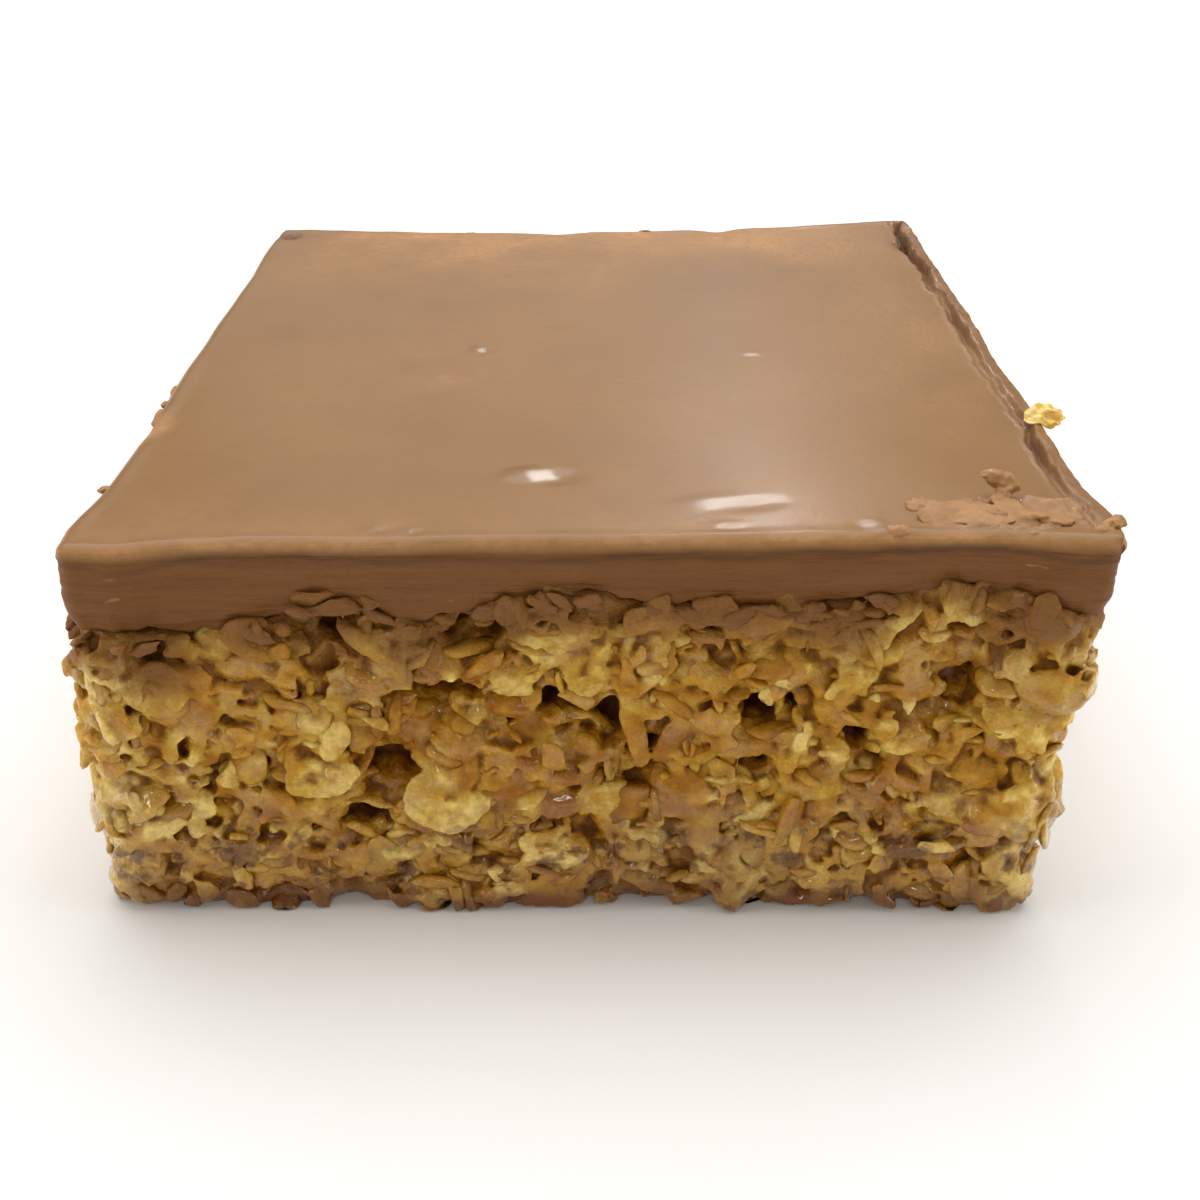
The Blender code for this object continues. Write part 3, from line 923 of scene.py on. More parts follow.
@dataclass
class FlakeBed:
    """Flakes strewn over the cut walls, at one depth below the surface."""

    walls: CutWalls
    flakes: OatFlakes
    rng: random.Random
    area_each: float
    sizes: tuple[float, float]
    proud: tuple[float, float]
    seam_overlap: float = 0.5 * MM
    floor_clearance: float = 0.15 * MM
    flatness: float = 1.0
    cut_level: tuple[float, float] | None = None
    hollows: tuple[Hollow, ...] = ()
    hollow_depth: float = 2.6 * MM
    overhang: float = 0.12
    contrast: float = 1.0
    seam_lift: float = 0.70 * MM
    seam_reach: float = 4.0 * MM
    weights: tuple[float, float, float, float] = (0.46, 0.30, 0.09, 0.15)
    coverage: float = 0.95
    tries: int = 5
    lowest: float = 0.3 * MM
    cut_share: float = 0.70
    hollow_near: float = 9
    flip_chance: float = 0.3
    tones: tuple[float, float, float] = (0.16, 0.44, 0.86)
    tone_weights: tuple[float, float, float] = (0.28, 0.52, 0.20)
    mean_tone: float = 0.46
    tone_spread: float = 0.09
    # Paler tone for flakes towards the bar's left and right ends: painted light.
    painted_end_light: float = 0.34
    painted_light_start: float = 0.85
    painted_light_span: float = 0.12
    fine_width: float = 0.70

    def orientation(self, outward: Vector, lie: Lie) -> Matrix:
        """A flake's turn for the way it lies.

        Args:
            outward: the direction out of the wall.
            lie: flat in its layer, leaning out like a shingle, facing out, or on its edge.

        Returns:
            The rotation, which takes the flake's own +Z to its face's direction.
        """
        rng = self.rng
        up = Vector((0, 0, 1))
        along = up.cross(outward)
        if lie is Lie.UPRIGHT:
            facing = along + up * rng.gauss(0, 0.35) + outward * rng.gauss(0.2, 0.4)
        else:
            lean = {Lie.FLAT: rng.gauss(0.1, 0.25), Lie.SHINGLED: rng.uniform(0.5, 1.1), Lie.FACING: 1.4}[lie]
            side = rng.gauss(0, 0.28 if lie is Lie.FLAT else 0.42)
            facing = up * math.cos(lean) + outward * math.sin(lean) + along * side
            if rng.random() < self.flip_chance:
                facing.z = -facing.z
        spin = Matrix.Rotation(rng.uniform(0, 2 * math.pi), 3, "Z")
        return facing.to_track_quat("Z", "Y").to_matrix() @ spin

    def settle(self, mesh: bpy.types.Mesh, wall: Vector, outward: Vector, proud: float, along: float) -> bool:
        """Moves a flake so that its outermost point stands so far proud of the wall.

        Args:
            mesh: the flake, about the origin.
            wall: the place on the wall.
            outward: the direction out of it.
            proud: how far the outermost point stands out.
            along: how far round the bar it is.

        Returns:
            Whether the flake keeps off the seam and out of the hollows.
        """
        places = points_of(mesh)
        out = np.array(outward)
        below = self.walls.seam(wall.x, wall.y) - wall.z
        lift = self.seam_lift * eased(1 - below / self.seam_reach)
        places += np.array(wall) + out * (proud + lift - (places @ out).max())
        if self.cut_level:
            beyond = (places - np.array(wall)) @ out - lift - self.rng.uniform(*self.cut_level)
            places -= np.maximum(beyond, 0)[:, None] * out * self.cut_share
        if places[:, 2].max() > self.walls.seam(wall.x, wall.y) + self.seam_overlap:
            return False
        sideways = Vector((0, 0, 1)).cross(outward)
        sunk = (np.array(wall) - places) @ np.array(outward)
        fore = places[sunk < self.hollow_depth]
        runs = along + (fore - np.array(wall)) @ np.array(sideways)
        for hollow in self.hollows:
            close = abs(along / MM - hollow.along) < self.hollow_near
            if close and (hollow.share(runs, fore[:, 2]) < 1).mean() > self.overhang:
                return False
        places[:, 2] = np.maximum(places[:, 2], self.floor_clearance)
        low, high = np.array(self.walls.low), np.array(self.walls.high)
        places[:, :2] = np.clip(places[:, :2], low[:2], high[:2])
        set_points(mesh, places)
        return True

    def strewn(self) -> list[bpy.types.Mesh]:
        """Places the flakes by chance, evenly all round.

        Returns:
            The placed flakes.
        """
        rng = self.rng
        walls = self.walls
        placed: list[bpy.types.Mesh] = []
        wanted = int(walls.length * walls.high.z * self.coverage / self.area_each)
        for _ in range(wanted * self.tries):
            if len(placed) >= wanted:
                break
            along = rng.uniform(0, walls.length)
            found = walls.surface(along, rng.uniform(self.lowest, walls.high.z))
            if found is None:
                continue
            wall, outward = found
            lie = rng.choices(tuple(Lie), self.weights)[0]
            size = rng.uniform(*self.sizes)
            # Painted light: flakes towards the bar's left and right ends get a paler tone.
            aside = max(abs(wall.x) / walls.half_x, self.painted_light_start)
            corner = eased((aside - self.painted_light_start) / self.painted_light_span)
            middle = rng.choices(self.tones, self.tone_weights)[0]
            middle = self.mean_tone + (middle - self.mean_tone) * self.contrast
            tone = min(max(rng.gauss(middle, self.tone_spread) + self.painted_end_light * corner, 0.0), 1.0)
            stretch = Vector((size, size, size * self.flatness))
            mesh = self.flakes.placed(self.orientation(outward, lie), stretch, tone)
            if self.settle(mesh, wall, outward, rng.uniform(*self.proud), along):
                placed.append(mesh)
            else:
                bpy.data.meshes.remove(mesh)
        return placed

    def spotted(self, spots: tuple[FlakeSpot, ...]) -> list[bpy.types.Mesh]:
        """Places the flakes that the front face is known by.

        Args:
            spots: each flake's place, size, turn, lean and tone.

        Returns:
            The placed flakes.
        """
        placed = []
        for spot in spots:
            found = self.walls.surface(spot.x * MM + self.walls.half_x, spot.z * MM)
            if found is None:
                continue
            wall, outward = found
            along = Vector((1, 0, 0))
            turned = Matrix.Rotation(-math.radians(spot.turn), 3, outward)
            tipped = Matrix.Rotation(math.radians(spot.lean), 3, turned @ along)
            base = Matrix((along, outward.cross(along), outward)).transposed()
            stretch = Vector((spot.length, spot.width / self.fine_width, spot.length)) * MM
            mesh = self.flakes.placed(tipped @ turned @ base, stretch, spot.tone, fine=True)
            if self.settle(mesh, wall, outward, spot.proud * MM, spot.x * MM + self.walls.half_x):
                placed.append(mesh)
        return placed


@dataclass(frozen=True)
class Block:
    """One block of the baked mass: its name, its span in plan and how fine its skin is."""

    name: str
    low_x: float
    low_y: float
    high_x: float
    high_y: float
    voxel: float
    face_budget: int


@dataclass
class OatBase:
    """The baked oats: fused blocks of flakes and syrup, with crisp flakes on the cut walls."""

    walls: CutWalls
    rng: random.Random
    front_depth: float = 7.0 * MM
    back_depth: float = 7.0 * MM
    overlap: float = 1.2 * MM
    core_inset: float = 0.80 * MM
    core_voxel: float = 0.5 * MM
    pit_depth: float = 3.0 * MM
    crinkle: float = 0.10 * MM
    stain_depth: float = 5.6 * MM
    scorch_height: float = 2.8 * MM
    damp_height: float = 5.0 * MM
    melts: int = 2
    least_bit: int = 2000
    crinkle_reach: float = 4.5 * MM
    flank_start: float = 0.80
    flank_span: float = 0.15
    corner_share: float = 0.06
    base_tone: float = 0.26
    tone_reach: float = 0.7 * MM
    tone_full: float = 0.25 * MM
    tone_fade: float = 0.45 * MM
    least_root: float = 0.3
    root_share: float = 0.4
    root_reach: float = 0.4 * MM
    scattered_hollows: int = 40
    front_hollows: tuple[tuple[float, float, float, float], ...] = (
        (-9.9, 18.5, 2.5, 0.75),
        (-12.9, 12.1, 2.3, 0.75),
        (-7.2, 23.0, 1.7, 0.7),
        (2.1, 15.6, 1.2, 1.1),
        (-1.6, 17.6, 1.0, 0.8),
        (12.2, 16.7, 0.9, 1.1),
        (15.1, 18.1, 0.8, 1.1),
        (26.4, 18.8, 1.5, 1.0),
        (19.2, 15.1, 0.8, 0.9),
        (12.0, 12.9, 0.8, 0.7),
        (4.9, 12.0, 0.8, 0.7),
        (-24.6, 23.0, 1.4, 0.6),
        (-17.4, 23.2, 1.6, 0.9),
        (26.1, 9.4, 1.0, 0.8),
        (-23.4, 12.7, 1.0, 0.5),
        (20.4, 12.8, 0.7, 0.6),
        (-5.3, 16.4, 0.7, 0.7),
        (-15.4, 8.0, 1.6, 0.7),
        (4.4, 13.9, 0.8, 0.6),
        (21.4, 20.4, 1.0, 0.5),
        (-28.8, 21.8, 1.0, 0.5),
    )
    spots: tuple[FlakeSpot, ...] = (
        FlakeSpot(-7.6, 19.9, 8.2, 3.6, 3, -60, 1.00, 0.25),
        FlakeSpot(-0.2, 15.4, 5.0, 3.6, -10, -18, 0.78, 0.3),
        FlakeSpot(-9.0, 12.5, 5.8, 3.6, 2, -60, 0.96, 0.3),
        FlakeSpot(-9.6, 10.0, 6.2, 4.0, 14, -18, 0.86, 0.3),
        FlakeSpot(-18.2, 11.8, 5.8, 3.6, -12, -26, 0.88, 0.3),
        FlakeSpot(-19.6, 9.3, 8.4, 3.2, -5, -68, 0.84, 0.3),
        FlakeSpot(-28.6, 19.4, 4.6, 3.8, -25, -12, 0.62, 0.2),
        FlakeSpot(-22.8, 11.6, 5.2, 1.8, 66, -25, 0.78, 0.3),
        FlakeSpot(-20.4, 6.6, 4.2, 1.6, 84, -16, 0.80, 0.3),
        FlakeSpot(-31.6, 11.6, 3.6, 2.4, 20, -25, 1.00, 0.3),
        FlakeSpot(27.2, 10.0, 5.6, 4.2, -12, -22, 0.88, 0.3),
        FlakeSpot(24.8, 15.0, 6.0, 3.8, 8, -32, 0.66, 0.2),
        FlakeSpot(12.4, 8.6, 3.2, 2.2, -30, -25, 1.00, 0.2),
        FlakeSpot(-1.4, 11.2, 4.0, 1.8, -10, -40, 1.00, 0.3),
        FlakeSpot(19.0, 23.4, 5.0, 2.6, 58, -22, 0.66, 0.3),
        FlakeSpot(4.6, 21.4, 5.6, 3.0, -70, -22, 0.70, 0.2),
        FlakeSpot(8.6, 19.6, 5.6, 3.4, -35, -22, 0.62, 0.2),
        FlakeSpot(-15.6, 17.4, 4.4, 3.2, 60, -18, 0.70, 0.2),
        FlakeSpot(-25.4, 15.4, 4.6, 3.4, -20, -22, 0.60, 0.2),
        FlakeSpot(4.4, 17.9, 4.6, 3.0, 30, -26, 0.58, 0.2),
        FlakeSpot(31.4, 17.0, 5.6, 3.6, 75, -20, 0.84, 0.3),
        FlakeSpot(31.2, 9.6, 4.8, 3.4, 84, -20, 0.90, 0.3),
        FlakeSpot(16.4, 11.4, 4.8, 2.8, 15, -35, 0.66, 0.2),
        FlakeSpot(-6.0, 22.8, 6.0, 2.2, -28, -40, 0.70, 0.3),
        FlakeSpot(-14.6, 22.6, 5.0, 2.0, 40, -30, 0.72, 0.3),
        FlakeSpot(-30.2, 7.4, 6.0, 2.4, -24, -40, 0.72, 0.2),
        FlakeSpot(-11.6, 5.4, 5.0, 2.2, -6, -40, 0.70, 0.2),
        FlakeSpot(-2.0, 5.6, 5.6, 2.4, 12, -40, 0.80, 0.2),
    )

    def blocks(self) -> tuple[Block, ...]:
        """The blocks that the mass is made in.

        Returns:
            The blocks, the front one the finest.
        """
        low, high = self.walls.low, self.walls.high
        front, back = low.y + self.front_depth, high.y - self.back_depth
        return (
            Block("oat_crumb_front", low.x, low.y, high.x, front, 0.17 * MM, 195_000),
            Block("oat_crumb_back", low.x, back, high.x, high.y, 0.22 * MM, 180_000),
            Block("oat_crumb_left", low.x, front, 0, back, 0.23 * MM, 180_000),
            Block("oat_crumb_right", 0, front, high.x, back, 0.23 * MM, 180_000),
        )

    def build(self) -> list[bpy.types.Object]:
        """Builds the blocks of the mass and the crisp flakes.

        Returns:
            The finished pieces.
        """
        flakes = OatFlakes(self.rng)
        flakes.build()
        hollows = self.hollows()
        beds = (
            self.bed(flakes, 7.0, (3.6, 6.6), (-2.6, -1.3), 2.5),
            self.bed(flakes, 4.0, (2.8, 6.0), (-1.1, -0.4), 2.5),
            self.bed(flakes, 4.2, (2.8, 6.0), (-0.3, 0.9), 1.6, (-0.32, 0.14)),
            self.bed(flakes, 2.6, (1.2, 3.0), (-0.25, 0.40), 1.4, (-0.30, 0.16)),
        )
        beds[2].weights = (0.34, 0.30, 0.18, 0.18)
        beds[3].weights = (0.26, 0.28, 0.30, 0.16)
        placed: list[bpy.types.Mesh] = []
        for bed in beds:
            bed.hollows = () if bed is beds[0] else hollows
            placed.extend(bed.strewn())
        placed.extend(beds[2].spotted(self.spots))
        LOG.info("%d flakes lie in the mass", len(placed))
        core = self.core(hollows)
        pieces = [self.block(block, placed, core) for block in self.blocks()]
        bpy.data.objects.remove(core)
        small = self.bed(flakes, 24.0, (1.0, 2.2), (-0.4, 0.3), 0.4)
        pressed = self.bed(flakes, 7.5, (2.2, 5.2), (0.0, 0.55), 1.2, (-0.08, 0.24))
        pressed.weights = (0.36, 0.32, 0.14, 0.18)
        trees = [skin_tree(piece.data) for piece in pieces]
        loose = bmesh.new()
        roots = []
        for bed, flatness in ((small, 0.6), (pressed, 0.85)):
            bed.flatness = flatness
            bed.seam_lift = 0.35 * MM
            bed.contrast = 0.5
            bed.hollows = hollows
            for mesh in bed.strewn():
                near = self.rooted(mesh, trees)
                if near.max() > self.least_root:
                    loose.from_mesh(mesh)
                    roots.append(near)
        top = object_from("oat_flakes", loose)
        self.paint(top, np.concatenate(roots))
        top.data.materials.append(OatFinish("glazed_flake", skin_depth=0.00026, skin_scale=900).material())
        return [*pieces, top]

    def bed(
        self,
        flakes: OatFlakes,
        area_each: float,
        sizes: tuple[float, float],
        proud: tuple[float, float],
        seam_overlap: float,
        cut_level: tuple[float, float] | None = None,
    ) -> FlakeBed:
        """One bed of flakes, from millimetres.

        Args:
            flakes: the kinds of flakes.
            area_each: the area of wall that each flake has.
            sizes: the least and greatest length.
            proud: how far the outermost point stands out of the wall, least and greatest.
            seam_overlap: how far a flake may reach over the seam.
            cut_level: where the knife went through, least and greatest, if it cut these flakes.

        Returns:
            The bed, in metres.
        """
        bed = FlakeBed(self.walls, flakes, self.rng, area_each * MM * MM, scaled(sizes), scaled(proud))
        bed.seam_overlap = seam_overlap * MM
        bed.cut_level = scaled(cut_level) if cut_level else None
        return bed

    def hollows(self) -> tuple[Hollow, ...]:
        """The gaps between the flakes.

        Returns:
            The front ones where they are seen, and the others by chance.
        """
        rng = self.rng
        found = [Hollow(x + self.walls.half_x / MM, z, wide, high) for x, z, wide, high in self.front_hollows]
        for _ in range(self.scattered_hollows):
            along = rng.uniform(2 * self.walls.half_x, self.walls.length) / MM
            found.append(Hollow(along, rng.uniform(3, 22), rng.uniform(0.7, 2.0), rng.uniform(0.5, 0.9)))
        return tuple(found)

    def core(self, hollows: tuple[Hollow, ...]) -> bpy.types.Object:
        """The syrup and crumb behind the flakes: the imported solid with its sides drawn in, deeper at the gaps.

        Args:
            hollows: the gaps between the flakes.

        Returns:
            The core as an object.
        """
        shape = bmesh.new()
        shape.from_mesh(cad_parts[OATS].data)
        bmesh.ops.remove_doubles(shape, verts=shape.verts, dist=1e-6)
        core = object_from("core", shape)
        fuse(core, self.core_voxel)
        places = points_of(core.data)
        middle = np.array([self.walls.half_x, self.walls.half_y])
        share = (np.abs(places[:, :2]) / middle).max(axis=1)
        nearer = np.clip((share - self.flank_start) / self.flank_span, 0, 1)[:, None]
        edge = np.abs(places[:, :2]) / middle > (share - self.corner_share)[:, None]
        runs = self.walls.along_of(places)
        deeper = np.zeros(len(places))
        for hollow in hollows:
            near = 1 - (hollow.share(runs, places[:, 2]) - 0.8) / 0.7
            deeper = np.maximum(deeper, eased_all(near) * (places[:, 2] > 0.5 * MM))
        lumps = np.array([ripple(Vector(place), 420, 5) for place in places]) * 0.35 * MM
        inset = (self.core_inset + lumps + self.pit_depth * deeper)[:, None]
        places[:, :2] -= np.sign(places[:, :2]) * edge * nearer * inset
        set_points(core.data, places)
        return core

    def block(self, block: Block, placed: list[bpy.types.Mesh], core: bpy.types.Object) -> bpy.types.Object:
        """Fuses one block's flakes and its share of the core into one skin.

        Args:
            block: the block's name, span and fineness.
            placed: every flake of the mass.
            core: the core of the whole bar.

        Returns:
            The fused and painted block.
        """
        bed = bmesh.new()
        margin = self.overlap + 1.0 * MM
        for mesh in placed:
            middle = points_of(mesh).mean(axis=0)
            inside_x = block.low_x - margin < middle[0] < block.high_x + margin
            if inside_x and block.low_y - margin < middle[1] < block.high_y + margin:
                bed.from_mesh(mesh)
        tones = bed.verts.layers.float["tone"]
        bed.faces.ensure_lookup_table()
        tree = BVHTree.FromBMesh(bed)
        tone_of = [face.verts[0][tones] for face in bed.faces]
        share = bmesh.new()
        share.from_mesh(core.data)
        for place, way in (
            (Vector((block.low_x - self.overlap, 0, 0)), Vector((-1, 0, 0))),
            (Vector((block.high_x + self.overlap, 0, 0)), Vector((1, 0, 0))),
            (Vector((0, block.low_y - self.overlap, 0)), Vector((0, -1, 0))),
            (Vector((0, block.high_y + self.overlap, 0)), Vector((0, 1, 0))),
        ):
            cut_off(share, place, way)
        part = bpy.data.meshes.new("core_share")
        share.to_mesh(part)
        share.free()
        bed.from_mesh(part)
        bpy.data.meshes.remove(part)
        mass = object_from(block.name, bed)
        fuse(mass, block.voxel, self.melts)
        LOG.info("%s: %d faces of skin", block.name, len(mass.data.polygons))
        self.crinkled(mass.data)
        thin_out(mass, min(1.0, block.face_budget / max(1, 2 * len(mass.data.polygons))))
        drop_specks(mass, self.least_bit)
        mass.data.shade_smooth()
        tone = np.full(len(mass.data.vertices), self.base_tone)
        for number, vertex in enumerate(mass.data.vertices):
            _, _, face, away = tree.find_nearest(vertex.co, self.tone_reach)
            if face is not None:
                close = eased(1 - (away - self.tone_full) / self.tone_fade)
                tone[number] += (tone_of[face] - self.base_tone) * close
        set_mask(mass.data, "tone", spread_out(mass.data, tone[:, None], 3)[:, 0])
        self.paint(mass, self.cavities(mass.data))
        mass.data.materials.append(OatFinish("glazed_crumb", skin_depth=0.00038, skin_scale=850).material())
        return mass

    def crinkled(self, mesh: bpy.types.Mesh) -> None:
        """Crinkles the skin of the cut walls.

        Args:
            mesh: the fused mass.
        """
        places = points_of(mesh)
        normals = normals_of(mesh)
        lift = np.zeros(len(places))
        beside = self.walls.depth(places) < self.crinkle_reach
        for number in np.nonzero(beside)[0]:
            place = Vector(places[number])
            lift[number] = 0.9 * ripple(place, 750) + 0.7 * ripple(place, 1500, 3) + 0.5 * ripple(place, 2900, 4)
        places += normals * (lift * self.crinkle)[:, None]
        places[:, 2] = np.maximum(places[:, 2], 0)
        set_points(mesh, places)

    def cavities(self, mesh: bpy.types.Mesh, rounds: int = 30) -> np.ndarray:
        """How deep each vertex lies in a hollow: how far a smoothed skin passes over it.

        Args:
            mesh: the fused mass.
            rounds: how many times the skin is smoothed.

        Returns:
            A share from 0 to 1 for each vertex.
        """
        places = points_of(mesh)
        # How far the smoothed skin passes over a vertex; it darkens the hollows as painted shade, with syrup.
        over = ((spread_out(mesh, places, rounds) - places) * normals_of(mesh)).sum(axis=1)
        return 0.5 * eased_all((over - 0.01 * MM) / (0.19 * MM)) + 0.40 * eased_all((over - 0.15 * MM) / (0.32 * MM))

    def rooted(self, mesh: bpy.types.Mesh, trees: list[BVHTree]) -> np.ndarray:
        """How near to the mass each vertex of a crisp flake is, for syrup and painted contact shade round its foot.

        Args:
            mesh: the flake.
            trees: the blocks of the mass.

        Returns:
            A share from 0 to 0.4 for each vertex.
        """
        near = np.zeros(len(mesh.vertices))
        for tree in trees:
            for number, vertex in enumerate(mesh.vertices):
                place, normal, _, _ = tree.find_nearest(vertex.co, self.root_reach)
                if place is not None:
                    standing = (vertex.co - place).dot(normal)
                    # Painted contact shade, with syrup, darkest where the flake meets the mass.
                    share = self.root_share * (1 - eased((standing - 0.03 * MM) / (0.26 * MM)))
                    near[number] = max(near[number], share)
        return near

    def paint(self, piece: bpy.types.Object, cavities: np.ndarray) -> None:
        """Stores how hollow each vertex is, which darkens it as syrup and painted shade, and how stained and scorched
        it is.

        Args:
            piece: a block of the mass or the crisp flakes.
            cavities: the hollows that are already known, from 0 to 1.
        """
        mesh = piece.data
        places = points_of(mesh)
        away = np.array([self.walls.oats.find_nearest(vertex.co)[3] for vertex in mesh.vertices])
        sunk = eased_all((away - 0.9 * MM) / (1.3 * MM))
        # The hollow mask is syrup and painted shade in the hollows.
        set_mask(mesh, "hollow", np.clip(np.maximum(cavities, sunk), 0, 1))
        seams = self.seams(places)
        uneven = np.array([ripple(Vector(place), 230, 2) for place in places])
        under = (places[:, 2] - seams + self.stain_depth * (1 + 0.6 * uneven)) / self.stain_depth
        set_mask(mesh, "stain", eased_all(under))
        low = 1 - places[:, 2] / (self.scorch_height * (1 + 0.7 * uneven))
        set_mask(mesh, "scorch", eased_all(1.4 * low))
        set_mask(mesh, "damp", eased_all(1 - (places[:, 2] - self.damp_height) / (7 * MM)))

    def seams(self, places: np.ndarray) -> np.ndarray:
        """The seam's height beside each place, read at every half millimetre.

        Args:
            places: one row a place.

        Returns:
            The height for each place.
        """
        step = 0.5 * MM
        known: dict[tuple[int, int], float] = {}
        found = np.zeros(len(places))
        for number, (x, y, _) in enumerate(places):
            cell = (round(x / step), round(y / step))
            if cell not in known:
                known[cell] = self.walls.seam(x, y)
            found[number] = known[cell]
        return found


# The chocolate


@dataclass(frozen=True)
class Mark:
    """A dent (below 0) or bump (above 0) in the chocolate's top."""

    x: float
    y: float
    height: float
    reach_x: float
    reach_y: float


@dataclass(frozen=True)
class Facet:
    """A small tilted flat in the chocolate's top, in millimetres, with the slopes that it ends up with."""

    x: float
    y: float
    reach_x: float
    reach_y: float
    slope_x: float
    slope_y: float

    def nearness(self, x: float, y: float) -> float:
        """How near a place in metres is to the facet's middle, from 0 to 1."""
        away = ((x / MM - self.x) / self.reach_x) ** 2 + ((y / MM - self.y) / self.reach_y) ** 2
        return math.exp(-(away**2)) if away < 2.5 else 0.0

    def height(self, x: float, y: float, before: tuple[float, float]) -> float:
        """The facet's height at a place in metres, over a top that sloped so much before."""
        rise = (x / MM - self.x) * (self.slope_x - before[0]) + (y / MM - self.y) * (self.slope_y - before[1])
        return rise * self.nearness(x, y) * MM


@dataclass
class ChocolateLayer:
    """The set chocolate: a grid draped over the oats, with a rounded rim and cut sides."""

    walls: CutWalls
    half_x: float = 34.2 * MM
    half_y: float = 39.4 * MM
    ray_start: float = 0.06
    wall_drop: float = 3.2 * MM
    wall_reads: int = 48
    cells_x: int = 226
    cells_y: int = 238
    middle_share: float = 0.64
    rim_radius: float = 0.9 * MM
    corner_radius: float = 1.4 * MM
    wall_levels: int = 22
    lip: float = 0.24 * MM
    lip_height: float = 1.1 * MM
    swell_height: float = 0.12 * MM
    calm_length: float = 16 * MM
    bead_height: float = 0.07 * MM
    bead_inset: float = 0.9 * MM
    bead_reach: float = 0.6 * MM
    back_fall: float = 0.4 * MM
    back_start: float = 10 * MM
    line_drop: float = 0.25 * MM
    line_reach: float = 0.25 * MM
    front_fall: float = 0.10 * MM
    fall_length: float = 9 * MM
    right_rim_radius: float = 0.40 * MM
    ridge_height: float = 0.55 * MM
    ridge_reach: float = 0.30 * MM
    groove_depth: float = 0.70 * MM
    groove_inset: float = 1.50 * MM
    groove_reach: float = 0.22 * MM
    seam_raggedness: float = 0.50 * MM
    under_recess: float = 0.42 * MM
    bed_inset: float = 2.5 * MM
    marks: tuple[Mark, ...] = (
        Mark(-10.6 * MM, -8.6 * MM, -0.12 * MM, 1.8 * MM, 1.3 * MM),
        Mark(-2.0 * MM, 5.3 * MM, -0.10 * MM, 1.6 * MM, 1.2 * MM),
        Mark(-32.6 * MM, -18.1 * MM, -0.40 * MM, 1.2 * MM, 2.4 * MM),
        Mark(-2.8 * MM, 38.2 * MM, -0.35 * MM, 2.2 * MM, 1.2 * MM),
        Mark(14.2 * MM, 38.2 * MM, -0.35 * MM, 1.8 * MM, 1.2 * MM),
        Mark(-31.9 * MM, 36.2 * MM, -0.65 * MM, 0.8 * MM, 0.9 * MM),
        Mark(33.0 * MM, 29.6 * MM, -0.70 * MM, 0.7 * MM, 1.6 * MM),
    )
    facets: tuple[Facet, ...] = (
        Facet(-2.9, -28.6, 2.4, 1.5, -0.170, 0.062),
        Facet(10.0, -33.4, 3.2, 1.3, -0.015, 0.048),
        Facet(18.9, -37.1, 1.25, 1.00, 0.088, 0.027),
        Facet(9.7, -37.2, 1.10, 0.90, -0.019, 0.038),
        Facet(-13.6, -37.1, 0.70, 0.70, -0.293, 0.034),
        Facet(-11.2, -37.4, 0.70, 0.70, -0.265, 0.036),
        Facet(-8.8, -1.5, 1.00, 1.00, -0.237, 0.110),
        Facet(14.2, -3.9, 1.00, 1.00, -0.001, 0.102),
    )
    # Dark marks on the top, each with how dark it is: painted shadows in the dents and beside the bump, the crumbs and
    # the scraped patch, and faint darker patches.
    shadows_and_dark_patches: tuple[Mark, ...] = (
        Mark(-31.9 * MM, 36.2 * MM, 0.90, 1.3 * MM, 1.4 * MM),
        Mark(33.0 * MM, 30.4 * MM, 0.95, 1.1 * MM, 2.6 * MM),
        Mark(-26.4 * MM, 3.6 * MM, 0.13, 2.4 * MM, 3.4 * MM),
        Mark(-10.6 * MM, -7.6 * MM, 0.12, 1.8 * MM, 1.4 * MM),
        Mark(9.2 * MM, 16.0 * MM, 0.10, 4.2 * MM, 4.2 * MM),
        Mark(-20.4 * MM, 4.6 * MM, 0.08, 2.8 * MM, 3.4 * MM),
        Mark(-4.6 * MM, -27.4 * MM, 0.16, 1.2 * MM, 0.5 * MM),
        Mark(-34.0 * MM, -12.6 * MM, 0.45, 0.8 * MM, 1.6 * MM),
        Mark(28.2 * MM, -36.9 * MM, 0.20, 5.0 * MM, 0.9 * MM),
    )
    scrape_x: float = 28.2 * MM
    scrape_y: float = -35.6 * MM
    scrape_half_x: float = 5.6 * MM
    scrape_half_y: float = 2.6 * MM

    def __post_init__(self) -> None:
        """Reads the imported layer's outline, top plane and box."""
        low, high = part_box(CHOCOLATE)
        self.low = low
        self.high = high
        tree = self.walls.chocolate
        span = 20 * MM
        corners = [Vector((x, y, self.ray_start)) for x in (-span, span) for y in (-span, span)]
        heights = [tree.ray_cast(corner, Vector((0, 0, -1)))[0].z for corner in corners]
        self.mean_top = sum(heights) / 4
        self.tilt = (heights[2] + heights[3] - heights[0] - heights[1]) / (4 * span)
        self.wall_z = self.mean_top - self.wall_drop
        self.outlines = {side: self.read_side(side) for side in ("left", "right", "front", "back")}
        self.before = [self.slope_at(facet.x * MM, facet.y * MM) for facet in self.facets]

    def read_side(self, side: str) -> tuple[np.ndarray, np.ndarray]:
        """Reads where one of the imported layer's walls is, all along it.

        Args:
            side: left, right, front or back.

        Returns:
            Places along the wall, and the wall's distance from the middle at each.
        """
        across = side in ("left", "right")
        sign = 1 if side in ("right", "back") else -1
        reach = (self.half_y if across else self.half_x) - 2.0 * MM
        places = np.linspace(-reach, reach, self.wall_reads)
        found = []
        for place in places:
            if across:
                start = Vector((sign * self.ray_start, place, self.wall_z))
                way = Vector((-sign, 0, 0))
            else:
                start = Vector((place, sign * self.ray_start, self.wall_z))
                way = Vector((0, -sign, 0))
            hit = self.walls.chocolate.ray_cast(start, way)[0]
            found.append(hit.x if across else hit.y)
        return places, np.array(found)

    def wall_at(self, side: str, place: float) -> float:
        """Where a wall is at one place along it."""
        places, found = self.outlines[side]
        return float(np.interp(place, places, found))

    def spread(self, share: float, half: float) -> float:
        """A grid line's place from its even share of -1 to 1, closer together near both edges."""
        return half * ((1 - self.middle_share) * share + self.middle_share * math.sin(math.pi * share / 2))

